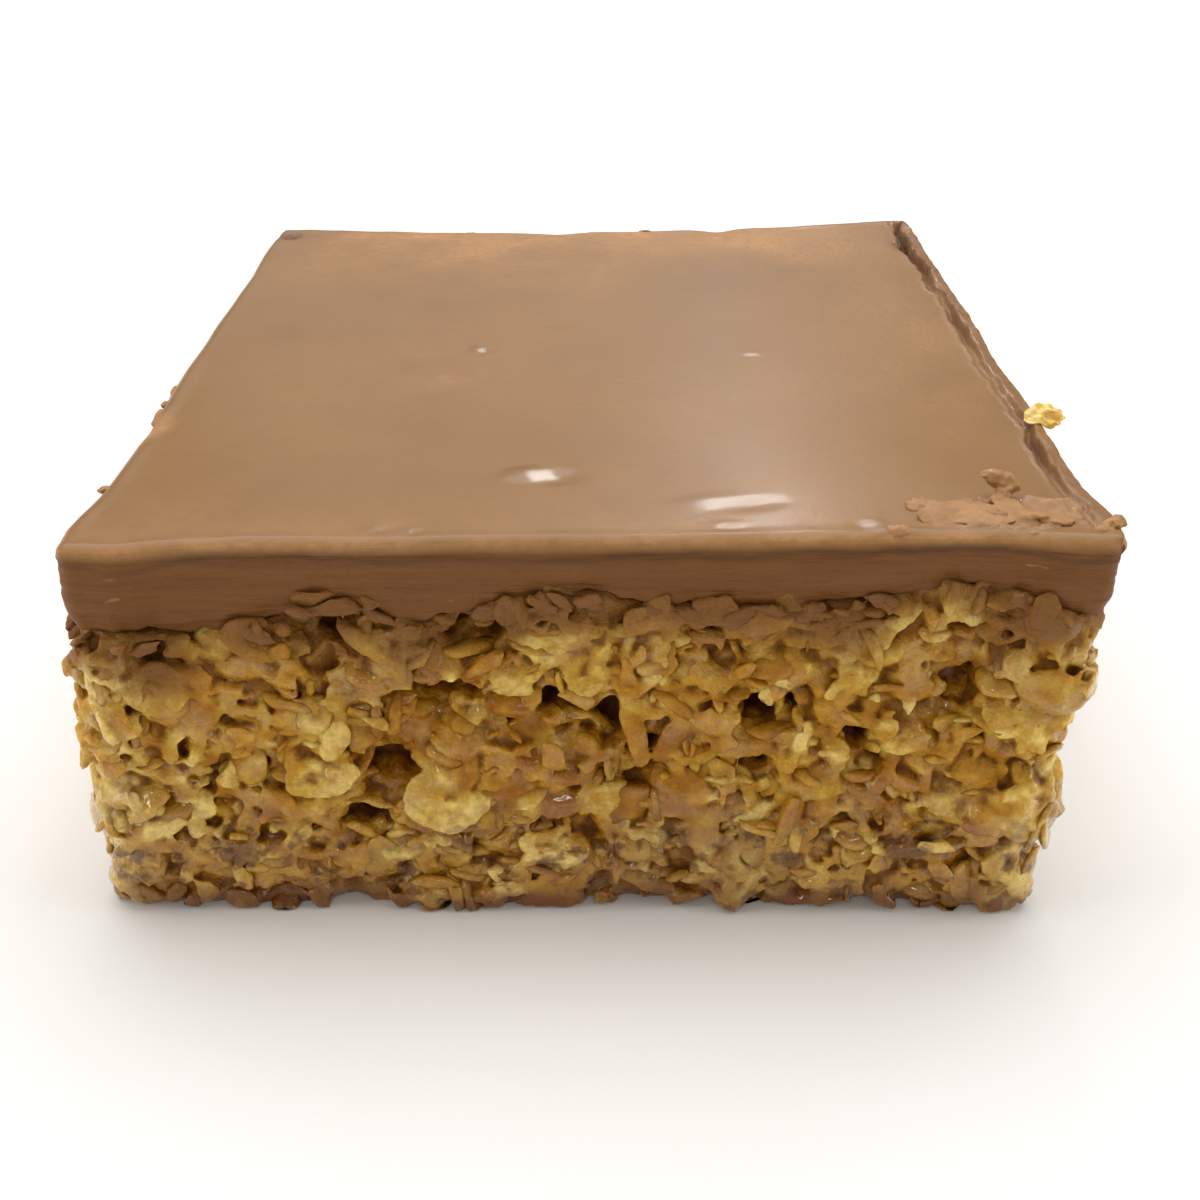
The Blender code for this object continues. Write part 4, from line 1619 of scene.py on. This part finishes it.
    def plan(self, share_x: float, share_y: float) -> tuple[float, float, float]:
        """A grid point in plan.

        Args:
            share_x: the point's even share across, from -1 to 1.
            share_y: the point's even share along, from -1 to 1.

        Returns:
            Its x and y, and its distance in from the nearest edge.
        """
        x = self.spread(share_x, self.half_x)
        y = self.spread(share_y, self.half_y)
        radius = self.corner_radius
        inset_x = self.half_x - abs(x)
        inset_y = self.half_y - abs(y)
        inset = min(inset_x, inset_y)
        if inset_x < radius and inset_y < radius:
            u = 1 - inset_x / radius
            v = 1 - inset_y / radius
            x = math.copysign(self.half_x - radius + radius * u * math.sqrt(1 - v * v / 2), x)
            y = math.copysign(self.half_y - radius + radius * v * math.sqrt(1 - u * u / 2), y)
            inset = radius * (1 - max(u, v))
        left, right = self.wall_at("left", y), self.wall_at("right", y)
        front, back = self.wall_at("front", x), self.wall_at("back", x)
        placed_x = left + (right - left) * (x / self.half_x + 1) / 2
        placed_y = front + (back - front) * (y / self.half_y + 1) / 2
        return placed_x, placed_y, inset

    def in_scrape(self, x: float, y: float) -> float:
        """How far inside the scraped patch's ragged edge a place is.

        Args:
            x: place across the bar.
            y: place along the bar.

        Returns:
            A share from 0 to 1.
        """
        away = math.hypot((x - self.scrape_x) / self.scrape_half_x, (y - self.scrape_y) / self.scrape_half_y)
        ragged = 0.35 * ripple(Vector((x, y, 0)), 700, 9) + 0.2 * ripple(Vector((x, y, 0)), 1900, 5)
        return eased((1.05 + ragged - away) / 0.22)

    def groove_line(self, y: float) -> tuple[float, float]:
        """The groove that the knife left along the right edge.

        Args:
            y: place along the bar.

        Returns:
            How far in from the edge it runs there, and how strong it is, from 0 to 1.
        """
        slow = ripple(Vector((0, y, 0)), 130, 3)
        fine = ripple(Vector((0, y, 0)), 420, 6)
        wander = 0.32 * MM * slow + 0.42 * MM * fine + 0.24 * MM * ripple(Vector((0, y, 0)), 1100, 2)
        strength = eased(0.62 + 0.9 * ripple(Vector((0, y, 0)), 75, 8)) * 0.75 + 0.25
        ends = eased((self.half_y - abs(y) - 0.5 * MM) / (2.5 * MM))
        return self.groove_inset + wander, strength * ends

    def ridge(self, x: float, y: float) -> float:
        """Height of the ragged ridge that the knife pushed up along the right edge, and of its groove.

        Args:
            x: place across the bar.
            y: place along the bar.

        Returns:
            The height.
        """
        inset = self.wall_at("right", y) - x
        line, strength = self.groove_line(y)
        place = Vector((x, y, 0))
        ragged = 1 + 0.7 * ripple(place, 520, 6) + 0.5 * ripple(place, 1300, 2)
        past = line - inset
        crest = self.ridge_height * ragged * eased(past / self.ridge_reach) * (1 - 0.35 * eased(past / (1.4 * MM)))
        groove = self.groove_depth * hill(past + 0.08 * MM, self.groove_reach)
        return (crest - groove) * strength

    def inset_at(self, x: float, y: float) -> float:
        """Distance in from the nearest edge."""
        beside = min(x - self.wall_at("left", y), self.wall_at("right", y) - x)
        return min(beside, y - self.wall_at("front", x), self.wall_at("back", x) - y)

    def slope_at(self, x: float, y: float) -> tuple[float, float]:
        """The top's slopes at a place, before its facets are made.

        Args:
            x: place across the bar.
            y: place along the bar.

        Returns:
            The slopes across and along.
        """
        step = 0.15 * MM
        places = ((x + step, y), (x - step, y), (x, y + step), (x, y - step))
        right, left, behind, ahead = (self.swell(a, b, self.inset_at(a, b)) for a, b in places)
        return self.tilt + (right - left) / (2 * step), (behind - ahead) / (2 * step)

    def swell(self, x: float, y: float, inset: float) -> float:
        """Height of the set top's swells, falls and dents over its mean plane.

        Args:
            x: place across the bar.
            y: place along the bar.
            inset: distance in from the nearest edge.

        Returns:
            The height.
        """
        place = Vector((x, y, 0))
        away = max(0.0, y - self.wall_at("front", x))
        calm = eased(away / self.calm_length) * 0.75 + 0.25
        height = self.swell_height * calm * ripple(place, 48)
        height -= self.front_fall * max(0.0, 1 - away / self.fall_length) ** 2
        height += self.bead_height * hill(inset - self.bead_inset, self.bead_reach) * (1 + 1.2 * ripple(place, 260, 7))
        back = eased((y - self.back_start) / (self.half_y - self.back_start))
        height -= self.back_fall * back * math.cos(math.pi * x / (2 * self.half_x))
        for mark in self.marks:
            reach = abs(x - mark.x) / mark.reach_x + abs(y - mark.y) / mark.reach_y
            if reach < 6:
                height += mark.height * hill(x - mark.x, mark.reach_x) * hill(y - mark.y, mark.reach_y)
        return height

    def relief(self, x: float, y: float, inset: float) -> float:
        """Height of the top over its mean plane.

        Args:
            x: place across the bar.
            y: place along the bar.
            inset: distance in from the nearest edge.

        Returns:
            The height.
        """
        place = Vector((x, y, 0))
        away = max(0.0, y - self.wall_at("front", x))
        height = self.swell(x, y, inset)
        height += sum(facet.height(x, y, before) for facet, before in zip(self.facets, self.before))
        if x > self.half_x - 5 * MM:
            height += self.ridge(x, y)
        scrape = self.in_scrape(x, y)
        if scrape > 0:
            lumps = abs(ripple(place, 620, 2)) + 0.6 * abs(ripple(place, 1500, 4))
            height += scrape * (0.62 * lumps - 0.10) * MM
        radius = self.rim_radius
        if self.wall_at("right", y) - x < away and x > 0:
            radius = self.right_rim_radius
        return height - radius + math.sqrt(max(0.0, radius**2 - max(0.0, radius - inset) ** 2))

    def lip_drop(self, foot: Vector) -> float:
        """How far down the side the rim's soft lip reaches."""
        return self.lip_height * (1 + 0.42 * ripple(foot, 160, 4) + 0.22 * ripple(foot, 620, 7))

    def lip_shadow(self, x: float, y: float, fallen: float) -> float:
        """How dark the painted shadow under the lip is: fainter at the left, stronger at the right.

        Args:
            x: place across the bar.
            y: place along the bar.
            fallen: depth below the top.

        Returns:
            A share from 0 to 1.
        """
        foot = Vector((x, y, 0))
        under = self.lip_drop(foot) + self.line_drop
        strength = 0.44 + 0.32 * eased((x + 6 * MM) / (34 * MM)) + 0.26 * ripple(foot, 210, 9)
        return max(0.0, strength) * hill(fallen - under, self.line_reach)

    def wall_relief(self, place: Vector, fallen: float, left: float) -> float:
        """How far the cut side stands out.

        Args:
            place: a place on the side.
            fallen: its depth below the top.
            left: its height above the seam.

        Returns:
            The distance out of the mean wall.
        """
        foot = Vector((place.x, place.y, 0))
        lip = self.lip * (1 + 0.7 * ripple(foot, 60, 6))
        lip *= 1 - eased((fallen - self.lip_drop(foot) * 0.75) / (0.35 * MM))
        drawn = Vector((place.x * 0.22, place.y * 0.22, place.z * 2.0))
        streaks = 0.10 * MM * ripple(drawn, 900, 5) + 0.05 * MM * ripple(drawn, 2300, 2)
        swell = 0.12 * MM * ripple(place, 140, 6) + 0.05 * MM * ripple(place, 700, 1)
        under = self.under_recess * hill(left, 0.8 * MM)
        return lip + (streaks + swell) * eased((fallen - 0.6 * MM) / (1.0 * MM)) - 0.10 * MM - under

    def build(self) -> bpy.types.Object:
        """Builds the layer.

        Returns:
            The finished piece.
        """
        shape = bmesh.new()
        bmesh.ops.create_grid(shape, x_segments=self.cells_x, y_segments=self.cells_y, size=1.0)
        rim = []
        for vertex in shape.verts:
            x, y, inset = self.plan(vertex.co.x, vertex.co.y)
            z = self.mean_top + self.tilt * x + self.relief(x, y, inset)
            vertex.co = Vector((x, y, z))
            if vertex.is_boundary:
                rim.append(vertex)
        edges = [edge for edge in shape.edges if edge.is_boundary]
        for level in range(1, self.wall_levels + 1):
            made = bmesh.ops.extrude_edge_only(shape, edges=edges)["geom"]
            edges = [item for item in made if isinstance(item, bmesh.types.BMEdge)]
            lower = [item for item in made if isinstance(item, bmesh.types.BMVert)]
            for vertex in lower:
                self.lower(vertex, level)
        self.close(shape, edges)
        bmesh.ops.recalc_face_normals(shape, faces=shape.faces)
        layer = object_from("chocolate_slab", shape)
        self.paint(layer)
        layer.data.materials.append(ChocolateFinish().material())
        return layer

    def lower(self, vertex: bmesh.types.BMVert, level: int) -> None:
        """Moves a freshly extruded vertex down the side by one level.

        Args:
            vertex: the vertex, still at the level above.
            level: its level, counted from the rim.
        """
        x, y, z = vertex.co
        outward = self.outward(x, y)
        top = self.mean_top + self.tilt * x
        foot = Vector((x, y, 0))
        seam = min(self.walls.seam(x + aside, y + aside) for aside in (-0.3 * MM, 0, 0.3 * MM))
        seam += self.seam_raggedness * (ripple(foot, 330, 3) + 0.9 * ripple(foot, 950, 5))
        new_z = z - (z - seam) / (self.wall_levels - level + 1)
        before = self.wall_relief(Vector((x, y, z)), top - z, z - seam) if level > 1 else 0
        after = self.wall_relief(Vector((x, y, new_z)), top - new_z, new_z - seam)
        shifted = foot + outward * (after - before)
        vertex.co = Vector((shifted.x, shifted.y, new_z))

    def outward(self, x: float, y: float) -> Vector:
        """The direction out of the layer's side nearest to a place.

        Args:
            x: place across the bar.
            y: place along the bar.

        Returns:
            The direction.
        """
        beside_x = abs(x) - (self.half_x - self.corner_radius)
        beside_y = abs(y) - (self.half_y - self.corner_radius)
        if beside_x > 0 and beside_y > 0:
            way = Vector((math.copysign(beside_x, x), math.copysign(beside_y, y), 0))
            return way.normalized()
        if beside_x > beside_y:
            return Vector((math.copysign(1, x), 0, 0))
        return Vector((0, math.copysign(1, y), 0))

    def close(self, shape: bmesh.types.BMesh, edges: list[bmesh.types.BMEdge]) -> None:
        """Turns the side's lower edge in over the bed and closes it.

        Args:
            shape: the layer so far.
            edges: its open lower edge.
        """
        made = bmesh.ops.extrude_edge_only(shape, edges=edges)["geom"]
        inner = [item for item in made if isinstance(item, bmesh.types.BMEdge)]
        share_x = 1 - self.bed_inset / self.half_x
        share_y = 1 - self.bed_inset / self.half_y
        for item in made:
            if isinstance(item, bmesh.types.BMVert):
                item.co.x *= share_x
                item.co.y *= share_y
        bmesh.ops.holes_fill(shape, edges=inner, sides=0)

    def paint(self, layer: bpy.types.Object) -> None:
        """Stores where the chocolate is cut, where it is broken or scuffed, where a pale highlight is painted along
        the rim, and where shade is painted.

        Args:
            layer: the finished grid.
        """
        mesh = layer.data
        places = points_of(mesh)
        tops = self.mean_top + self.tilt * places[:, 0]
        fallen = tops - places[:, 2]
        cut = eased_all((fallen - 0.65 * MM) / (0.6 * MM))
        broken = np.zeros(len(places))
        shade = np.zeros(len(places))
        for number, (x, y, _) in enumerate(places):
            if fallen[number] < 2.4 * MM:
                # Painted highlight: a pale line along the rim's top edge, in the broken-chocolate colour.
                rim = hill(fallen[number] - 0.38 * MM, 0.28 * MM) * (0.80 + 0.5 * ripple(Vector((x, y, 0)), 260, 8))
                inset = self.wall_at("right", y) - x
                line, strength = self.groove_line(y)
                band = eased((line + 0.95 * MM - inset) / (0.45 * MM))
                rough = 0.5 + 0.7 * ripple(Vector((x, y, 0)), 640, 4)
                cut[number] = max(cut[number], 0.62 * band * strength)
                broken[number] = min(1.0, max(rim, 0.40 * band * rough * strength, 0.55 * self.in_scrape(x, y)))
                # Painted shade in the knife groove, and the painted shadow under the lip.
                groove = 0.95 * hill(inset - line, 0.36 * MM) * strength
                shade[number] = max(groove, self.lip_shadow(x, y, fallen[number]))
                # Painted shadows and darker patches on the top.
                for dark_patch in self.shadows_and_dark_patches:
                    if abs(x - dark_patch.x) < 3 * dark_patch.reach_x and abs(y - dark_patch.y) < 3 * dark_patch.reach_y:
                        dark = hill(x - dark_patch.x, dark_patch.reach_x) * hill(y - dark_patch.y, dark_patch.reach_y)
                        shade[number] = max(shade[number], dark_patch.height * dark)
                clear = 1 - max(facet.nearness(x, y) for facet in self.facets)
                cut[number] *= clear
                broken[number] *= clear
        set_mask(mesh, "cut", cut)
        set_mask(mesh, "broken", broken)
        set_mask(mesh, "shade", shade)


@dataclass(frozen=True)
class Lump:
    """One torn lump of chocolate, in millimetres: its place, lift, size each way and least distance from an edge."""

    x: float
    y: float
    lift: float
    size_x: float
    size_y: float
    size_z: float
    keep: float = 0.30


@dataclass
class Scraps:
    """Small scraps on the chocolate: the scraped patch, torn lumps along the edges and the stray oat flake."""

    layer: ChocolateLayer
    rng: random.Random
    voxel: float = 0.085 * MM
    melts: int = 5
    thin_share: float = 0.35
    corner_clear: float = 3 * MM
    lumps: tuple[Lump, ...] = (
        Lump(28.0, -34.2, 0.10, 1.0, 1.1, 0.7),
        Lump(28.4, -33.7, 0.45, 1.0, 0.9, 1.0),
        Lump(28.8, -33.3, 0.80, 1.3, 0.9, 0.9),
        Lump(28.4, -33.0, 1.20, 1.8, 1.0, 0.9),
        Lump(27.9, -32.9, 1.55, 1.4, 0.9, 0.8),
        Lump(22.8, -34.7, -0.06, 1.9, 1.5, 0.40),
        Lump(24.0, -34.3, -0.05, 2.0, 1.7, 0.42),
        Lump(25.6, -35.0, -0.06, 3.0, 2.4, 0.40),
        Lump(24.0, -36.2, -0.08, 3.2, 2.4, 0.36),
        Lump(26.6, -36.4, -0.06, 3.4, 2.6, 0.40),
        Lump(28.6, -35.8, -0.05, 2.6, 2.4, 0.42),
        Lump(30.0, -36.3, 0.00, 1.7, 1.6, 0.55),
        Lump(31.4, -37.0, -0.02, 1.9, 1.3, 0.45),
        Lump(34.8, -37.6, 0.00, 1.3, 1.0, 0.8, -0.5),
        Lump(35.2, -37.2, 0.22, 0.8, 0.7, 0.7, -0.6),
        Lump(34.0, -38.2, -0.12, 1.3, 0.9, 0.7, 0.1),
        Lump(32.4, -38.5, -0.35, 0.9, 0.6, 0.6, 0.1),
        Lump(31.2, -38.7, -0.75, 0.6, 0.5, 0.6, -0.1),
        Lump(29.4, -38.4, -0.20, 0.9, 0.6, 0.4, 0.1),
        Lump(20.8, -38.0, -0.08, 1.6, 0.9, 0.4, 0.2),
        Lump(-33.6, -15.4, -0.05, 0.6, 2.4, 0.5, 0.1),
        Lump(-33.5, -12.6, 0.00, 0.5, 2.0, 0.5, 0.1),
        Lump(-33.4, -9.8, -0.05, 0.5, 1.6, 0.4, 0.1),
        Lump(-34.2, -29.0, -0.05, 0.8, 1.2, 0.6, 0.0),
        Lump(-12.6, 38.6, -0.05, 1.5, 0.8, 0.4),
        Lump(6.4, 38.7, -0.05, 1.2, 0.7, 0.4),
    )
    crumbs: int = 190
    stray_x: float = 34.8 * MM
    stray_y: float = -20.0 * MM
    stray_length: float = 2.7 * MM
    stray_lift: float = 0.60 * MM
    stray_turn: float = -14
    stray_lean: float = 30

    def top_at(self, x: float, y: float) -> float:
        """Height of the chocolate's top at a place."""
        layer = self.layer
        return layer.mean_top + layer.tilt * x + layer.relief(x, y, max(0.1 * MM, layer.inset_at(x, y)))

    def build(self) -> list[bpy.types.Object]:
        """Builds the scraps.

        Returns:
            The chocolate scraps and the stray flake.
        """
        scraps = bmesh.new()
        for number, lump in enumerate(self.lumps):
            self.add_lump(scraps, lump, number)
        for number in range(self.crumbs):
            self.add_crumb(scraps, number)
        made = object_from("chocolate_scraps", scraps)
        fuse(made, self.voxel, self.melts)
        thin_out(made, self.thin_share)
        made.data.shade_smooth()
        count = len(made.data.vertices)
        low = eased_all((self.layer.mean_top - 1.8 * MM - points_of(made.data)[:, 2]) / (0.6 * MM))
        set_mask(made.data, "cut", low)
        set_mask(made.data, "broken", 0.80 - 0.65 * low)
        set_mask(made.data, "shade", np.zeros(count))
        made.data.materials.append(bpy.data.materials["milk_chocolate"])
        return [made, self.stray_flake()]

    def add_lump(self, shape: bmesh.types.BMesh, lump: Lump, number: int) -> None:
        """Adds one torn lump of chocolate.

        Args:
            shape: the scraps so far.
            lump: the lump's place and size.
            number: its number, which gives its own skin.
        """
        made = bmesh.ops.create_icosphere(shape, subdivisions=4, radius=0.5)["verts"]
        layer, keep = self.layer, lump.keep * MM
        x, y = lump.x * MM, lump.y * MM
        x = min(max(x, layer.wall_at("left", y) + keep), layer.wall_at("right", y) - keep)
        y = min(max(y, layer.wall_at("front", x) + keep), layer.wall_at("back", x) - keep)
        foot = Vector((x, y, self.top_at(x, y) + lump.lift * MM))
        turn = Matrix.Rotation(self.rng.uniform(0, math.pi), 3, "Z") if lump.size_x == lump.size_y else Matrix()
        turn = turn.to_3x3() @ Matrix.Rotation(self.rng.uniform(-0.4, 0.4), 3, "X")
        for vertex in made:
            torn = abs(ripple(vertex.co, 3.2, number)) + 0.5 * abs(ripple(vertex.co, 7.5, number + 3))
            grown = vertex.co * (0.85 + 0.75 * torn)
            sized = Vector((grown.x * lump.size_x, grown.y * lump.size_y, grown.z * lump.size_z)) * MM
            vertex.co = turn @ sized + foot

    def add_crumb(self, shape: bmesh.types.BMesh, number: int) -> None:
        """Adds one crumb of chocolate that lies over the seam, somewhere round the bar.

        Args:
            shape: the scraps so far.
            number: its number, which gives its own skin.
        """
        rng, walls = self.rng, self.layer.walls
        along = rng.uniform(0, walls.length)
        point, outward = walls.around(along)
        clear = self.corner_clear
        if abs(point.x) > walls.half_x - clear and abs(point.y) > walls.half_y - clear:
            return
        height = walls.seam(point.x, point.y) - rng.uniform(0.0, 1.0) * MM
        found = walls.surface(along, height)
        if found is None:
            return
        foot = found[0] + outward * rng.uniform(-0.2, 0.35) * MM
        size = Vector((rng.uniform(0.9, 2.8), rng.uniform(0.7, 1.1), rng.uniform(0.6, 1.3)))
        turn = Matrix((outward.cross(Vector((0, 0, 1))), outward, Vector((0, 0, 1)))).transposed()
        turn = turn @ Matrix.Rotation(rng.uniform(-0.5, 0.5), 3, "Y")
        for vertex in bmesh.ops.create_icosphere(shape, subdivisions=3, radius=0.5)["verts"]:
            torn = 0.8 + 0.7 * abs(ripple(vertex.co, 3.2, number)) + 0.4 * abs(ripple(vertex.co, 7.5, number + 3))
            vertex.co = turn @ (vertex.co * size) * torn * MM + foot

    def stray_flake(self) -> bpy.types.Object:
        """The one pale flake on the right edge.

        Returns:
            The finished flake.
        """
        shape = bmesh.new()
        bmesh.ops.create_icosphere(shape, subdivisions=5, radius=0.5)
        foot = Vector((self.stray_x, self.stray_y, self.top_at(self.stray_x, self.stray_y) + self.stray_lift))
        turn = Matrix.Rotation(math.radians(self.stray_turn), 3, "Z")
        turn = turn @ Matrix.Rotation(math.radians(self.stray_lean), 3, "X")
        for vertex in shape.verts:
            x, y, z = vertex.co
            ragged = 1 + 0.28 * ripple(Vector((x, y, 0)), 3.2, 4) + 0.10 * ripple(Vector((x, y, 0)), 9, 2)
            z = math.copysign(abs(z * 2) ** 0.6, z) * 0.08
            lift = 0.16 * ripple(Vector((x, y, 0)), 4.0, 7) - 0.35 * x * x
            vertex.co = turn @ (Vector((x * ragged, y * 0.80 * ragged, z + lift)) * self.stray_length) + foot
        stray = object_from("stray_oat_flake", shape)
        count = len(stray.data.vertices)
        for title in OAT_MASKS:
            set_mask(stray.data, title.lower(), np.full(count, 1.0 if title == "Tone" else 0.0))
        stray.data.materials.append(bpy.data.materials["glazed_flake"])
        return stray


# The studio


@dataclass(frozen=True)
class SoftBox:
    """One soft area light."""

    name: str
    place: tuple[float, float, float]
    aim: tuple[float, float, float]
    width: float
    height: float
    watts: float
    tint: tuple[float, float, float] = (1.0, 1.0, 1.0)

    def build(self) -> None:
        """Adds the light, aimed at its target."""
        lamp = bpy.data.lights.new(self.name, "AREA")
        lamp.color = self.tint
        lamp.shape = "ELLIPSE" if self.width < ROUND_LIGHT else "RECTANGLE"
        lamp.size = self.width
        lamp.size_y = self.height
        lamp.energy = self.watts
        light = bpy.data.objects.new(self.name, lamp)
        bpy.context.scene.collection.objects.link(light)
        light.location = self.place
        way = Vector(self.aim) - Vector(self.place)
        light.rotation_mode = "QUATERNION"
        light.rotation_quaternion = way.to_track_quat("-Z", "Y")
        light.visible_camera = False


@dataclass
class Studio:
    """A pale floor, soft light and a camera at the photograph's angle."""

    camera_place: tuple[float, float, float] = (0.70 * MM, -128.42 * MM, 74.4 * MM)
    pitch: float = 28.35
    yaw: float = 0.38
    roll: float = 0.5
    focal_px: float = 1540.0
    frame_px: float = 1200.0
    sensor: float = 36.0
    floor_size: float = 6.0
    floor_tone: float = 0.80
    sky: float = 0.30
    sky_tint: tuple[float, float, float, float] = (1.0, 0.985, 0.96, 1)
    boxes: tuple[SoftBox, ...] = (
        SoftBox("overhead", (0, 0.45, 1.15), (0, 0.05, 0), 1.9, 1.5, 23.5),
        SoftBox("back_glow", (-0.12, 1.35, 0.75), (0, 0, 0), 0.6, 0.8, 0.6),
        SoftBox("side_left", (-1.1, -0.05, 0.35), (0, 0, 0.02), 0.8, 0.6, 5.2, (1.0, 0.93, 0.80)),
        SoftBox("side_right", (1.1, -0.05, 0.35), (0, 0, 0.02), 0.8, 0.6, 4.4, (1.0, 0.95, 0.85)),
        SoftBox("window_left", (-0.22, -0.80, 0.62), (0, 0, 0.02), 0.060, 0.060, 1.1, (1.0, 0.92, 0.78)),
        SoftBox("window_right", (0.26, -0.72, 0.44), (0, 0, 0.02), 0.034, 0.030, 0.2),
        SoftBox("lamp", (0.0899, 0.742, 0.481), (0.0104, -0.0334, 0.031), 0.05, 0.05, 0.36),
    )

    def build(self) -> None:
        """Adds the floor, the lights, the sky and the camera."""
        self.add_floor()
        for box in self.boxes:
            box.build()
        world = bpy.data.worlds.new("studio")
        world.use_nodes = True
        background = world.node_tree.nodes["Background"]
        background.inputs["Color"].default_value = self.sky_tint
        background.inputs["Strength"].default_value = self.sky
        bpy.context.scene.world = world
        self.add_camera()
        bpy.context.scene.view_settings.view_transform = "Standard"

    def add_floor(self) -> None:
        """Adds the floor that the bar rests on."""
        shape = bmesh.new()
        bmesh.ops.create_grid(shape, x_segments=4, y_segments=4, size=self.floor_size / 2)
        floor = object_from("floor", shape)
        paper, nodes, shader = new_material("pale_paper")
        tone = self.floor_tone
        grain = nodes.span(nodes.noise(nodes.place(), 30), 0.3, 0.7, 0.0, 1.0)
        shade = nodes.mix(grain, (tone, tone, tone, 1), (tone * 0.99, tone * 0.99, tone * 0.985, 1))
        nodes.join(shade, shader.inputs["Base Color"])
        shader.inputs["Roughness"].default_value = 0.9
        shader.inputs["Specular IOR Level"].default_value = 0.1
        floor.data.materials.append(paper)

    def add_camera(self) -> None:
        """Adds the camera where the photograph was taken from."""
        pitch, yaw, roll = (math.radians(angle) for angle in (self.pitch, self.yaw, self.roll))
        ahead = Vector((math.sin(yaw) * math.cos(pitch), math.cos(yaw) * math.cos(pitch), -math.sin(pitch)))
        level = ahead.cross(Vector((0, 0, 1))).normalized()
        upright = level.cross(ahead)
        right = level * math.cos(roll) + upright * math.sin(roll)
        up = upright * math.cos(roll) - level * math.sin(roll)
        lens = bpy.data.cameras.new("camera")
        lens.sensor_width = self.sensor
        lens.lens = self.focal_px / self.frame_px * self.sensor
        lens.clip_start = 0.005
        lens.clip_end = 20
        camera = bpy.data.objects.new("camera", lens)
        bpy.context.scene.collection.objects.link(camera)
        turn = Matrix((right, up, -ahead)).transposed().to_4x4()
        camera.matrix_world = Matrix.Translation(self.camera_place) @ turn
        bpy.context.scene.camera = camera


def carry(piece: bpy.types.Object, replaced: str | None = None) -> None:
    """Fixes a finished piece to the bar.

    Args:
        piece: the piece.
        replaced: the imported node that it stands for, if any.
    """
    if replaced:
        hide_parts(replaced)
    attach(piece, BODY)
    LOG.info("%s: %d vertices, %d faces", piece.name, len(piece.data.vertices), len(piece.data.polygons))


def main() -> None:
    """Builds the bar's looks and the studio around it."""
    logging.basicConfig(level=logging.INFO, format="%(relativeCreated)d ms %(message)s", force=True)
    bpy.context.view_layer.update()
    walls = CutWalls()
    for piece in OatBase(walls, random.Random(OAT_SEED)).build():
        carry(piece, OATS)
    layer = ChocolateLayer(walls)
    carry(layer.build(), CHOCOLATE)
    scraps, stray = Scraps(layer, random.Random(SCRAP_SEED)).build()
    carry(scraps)
    carry(stray)
    Studio().build()


if __name__ == "__main__":
    main()
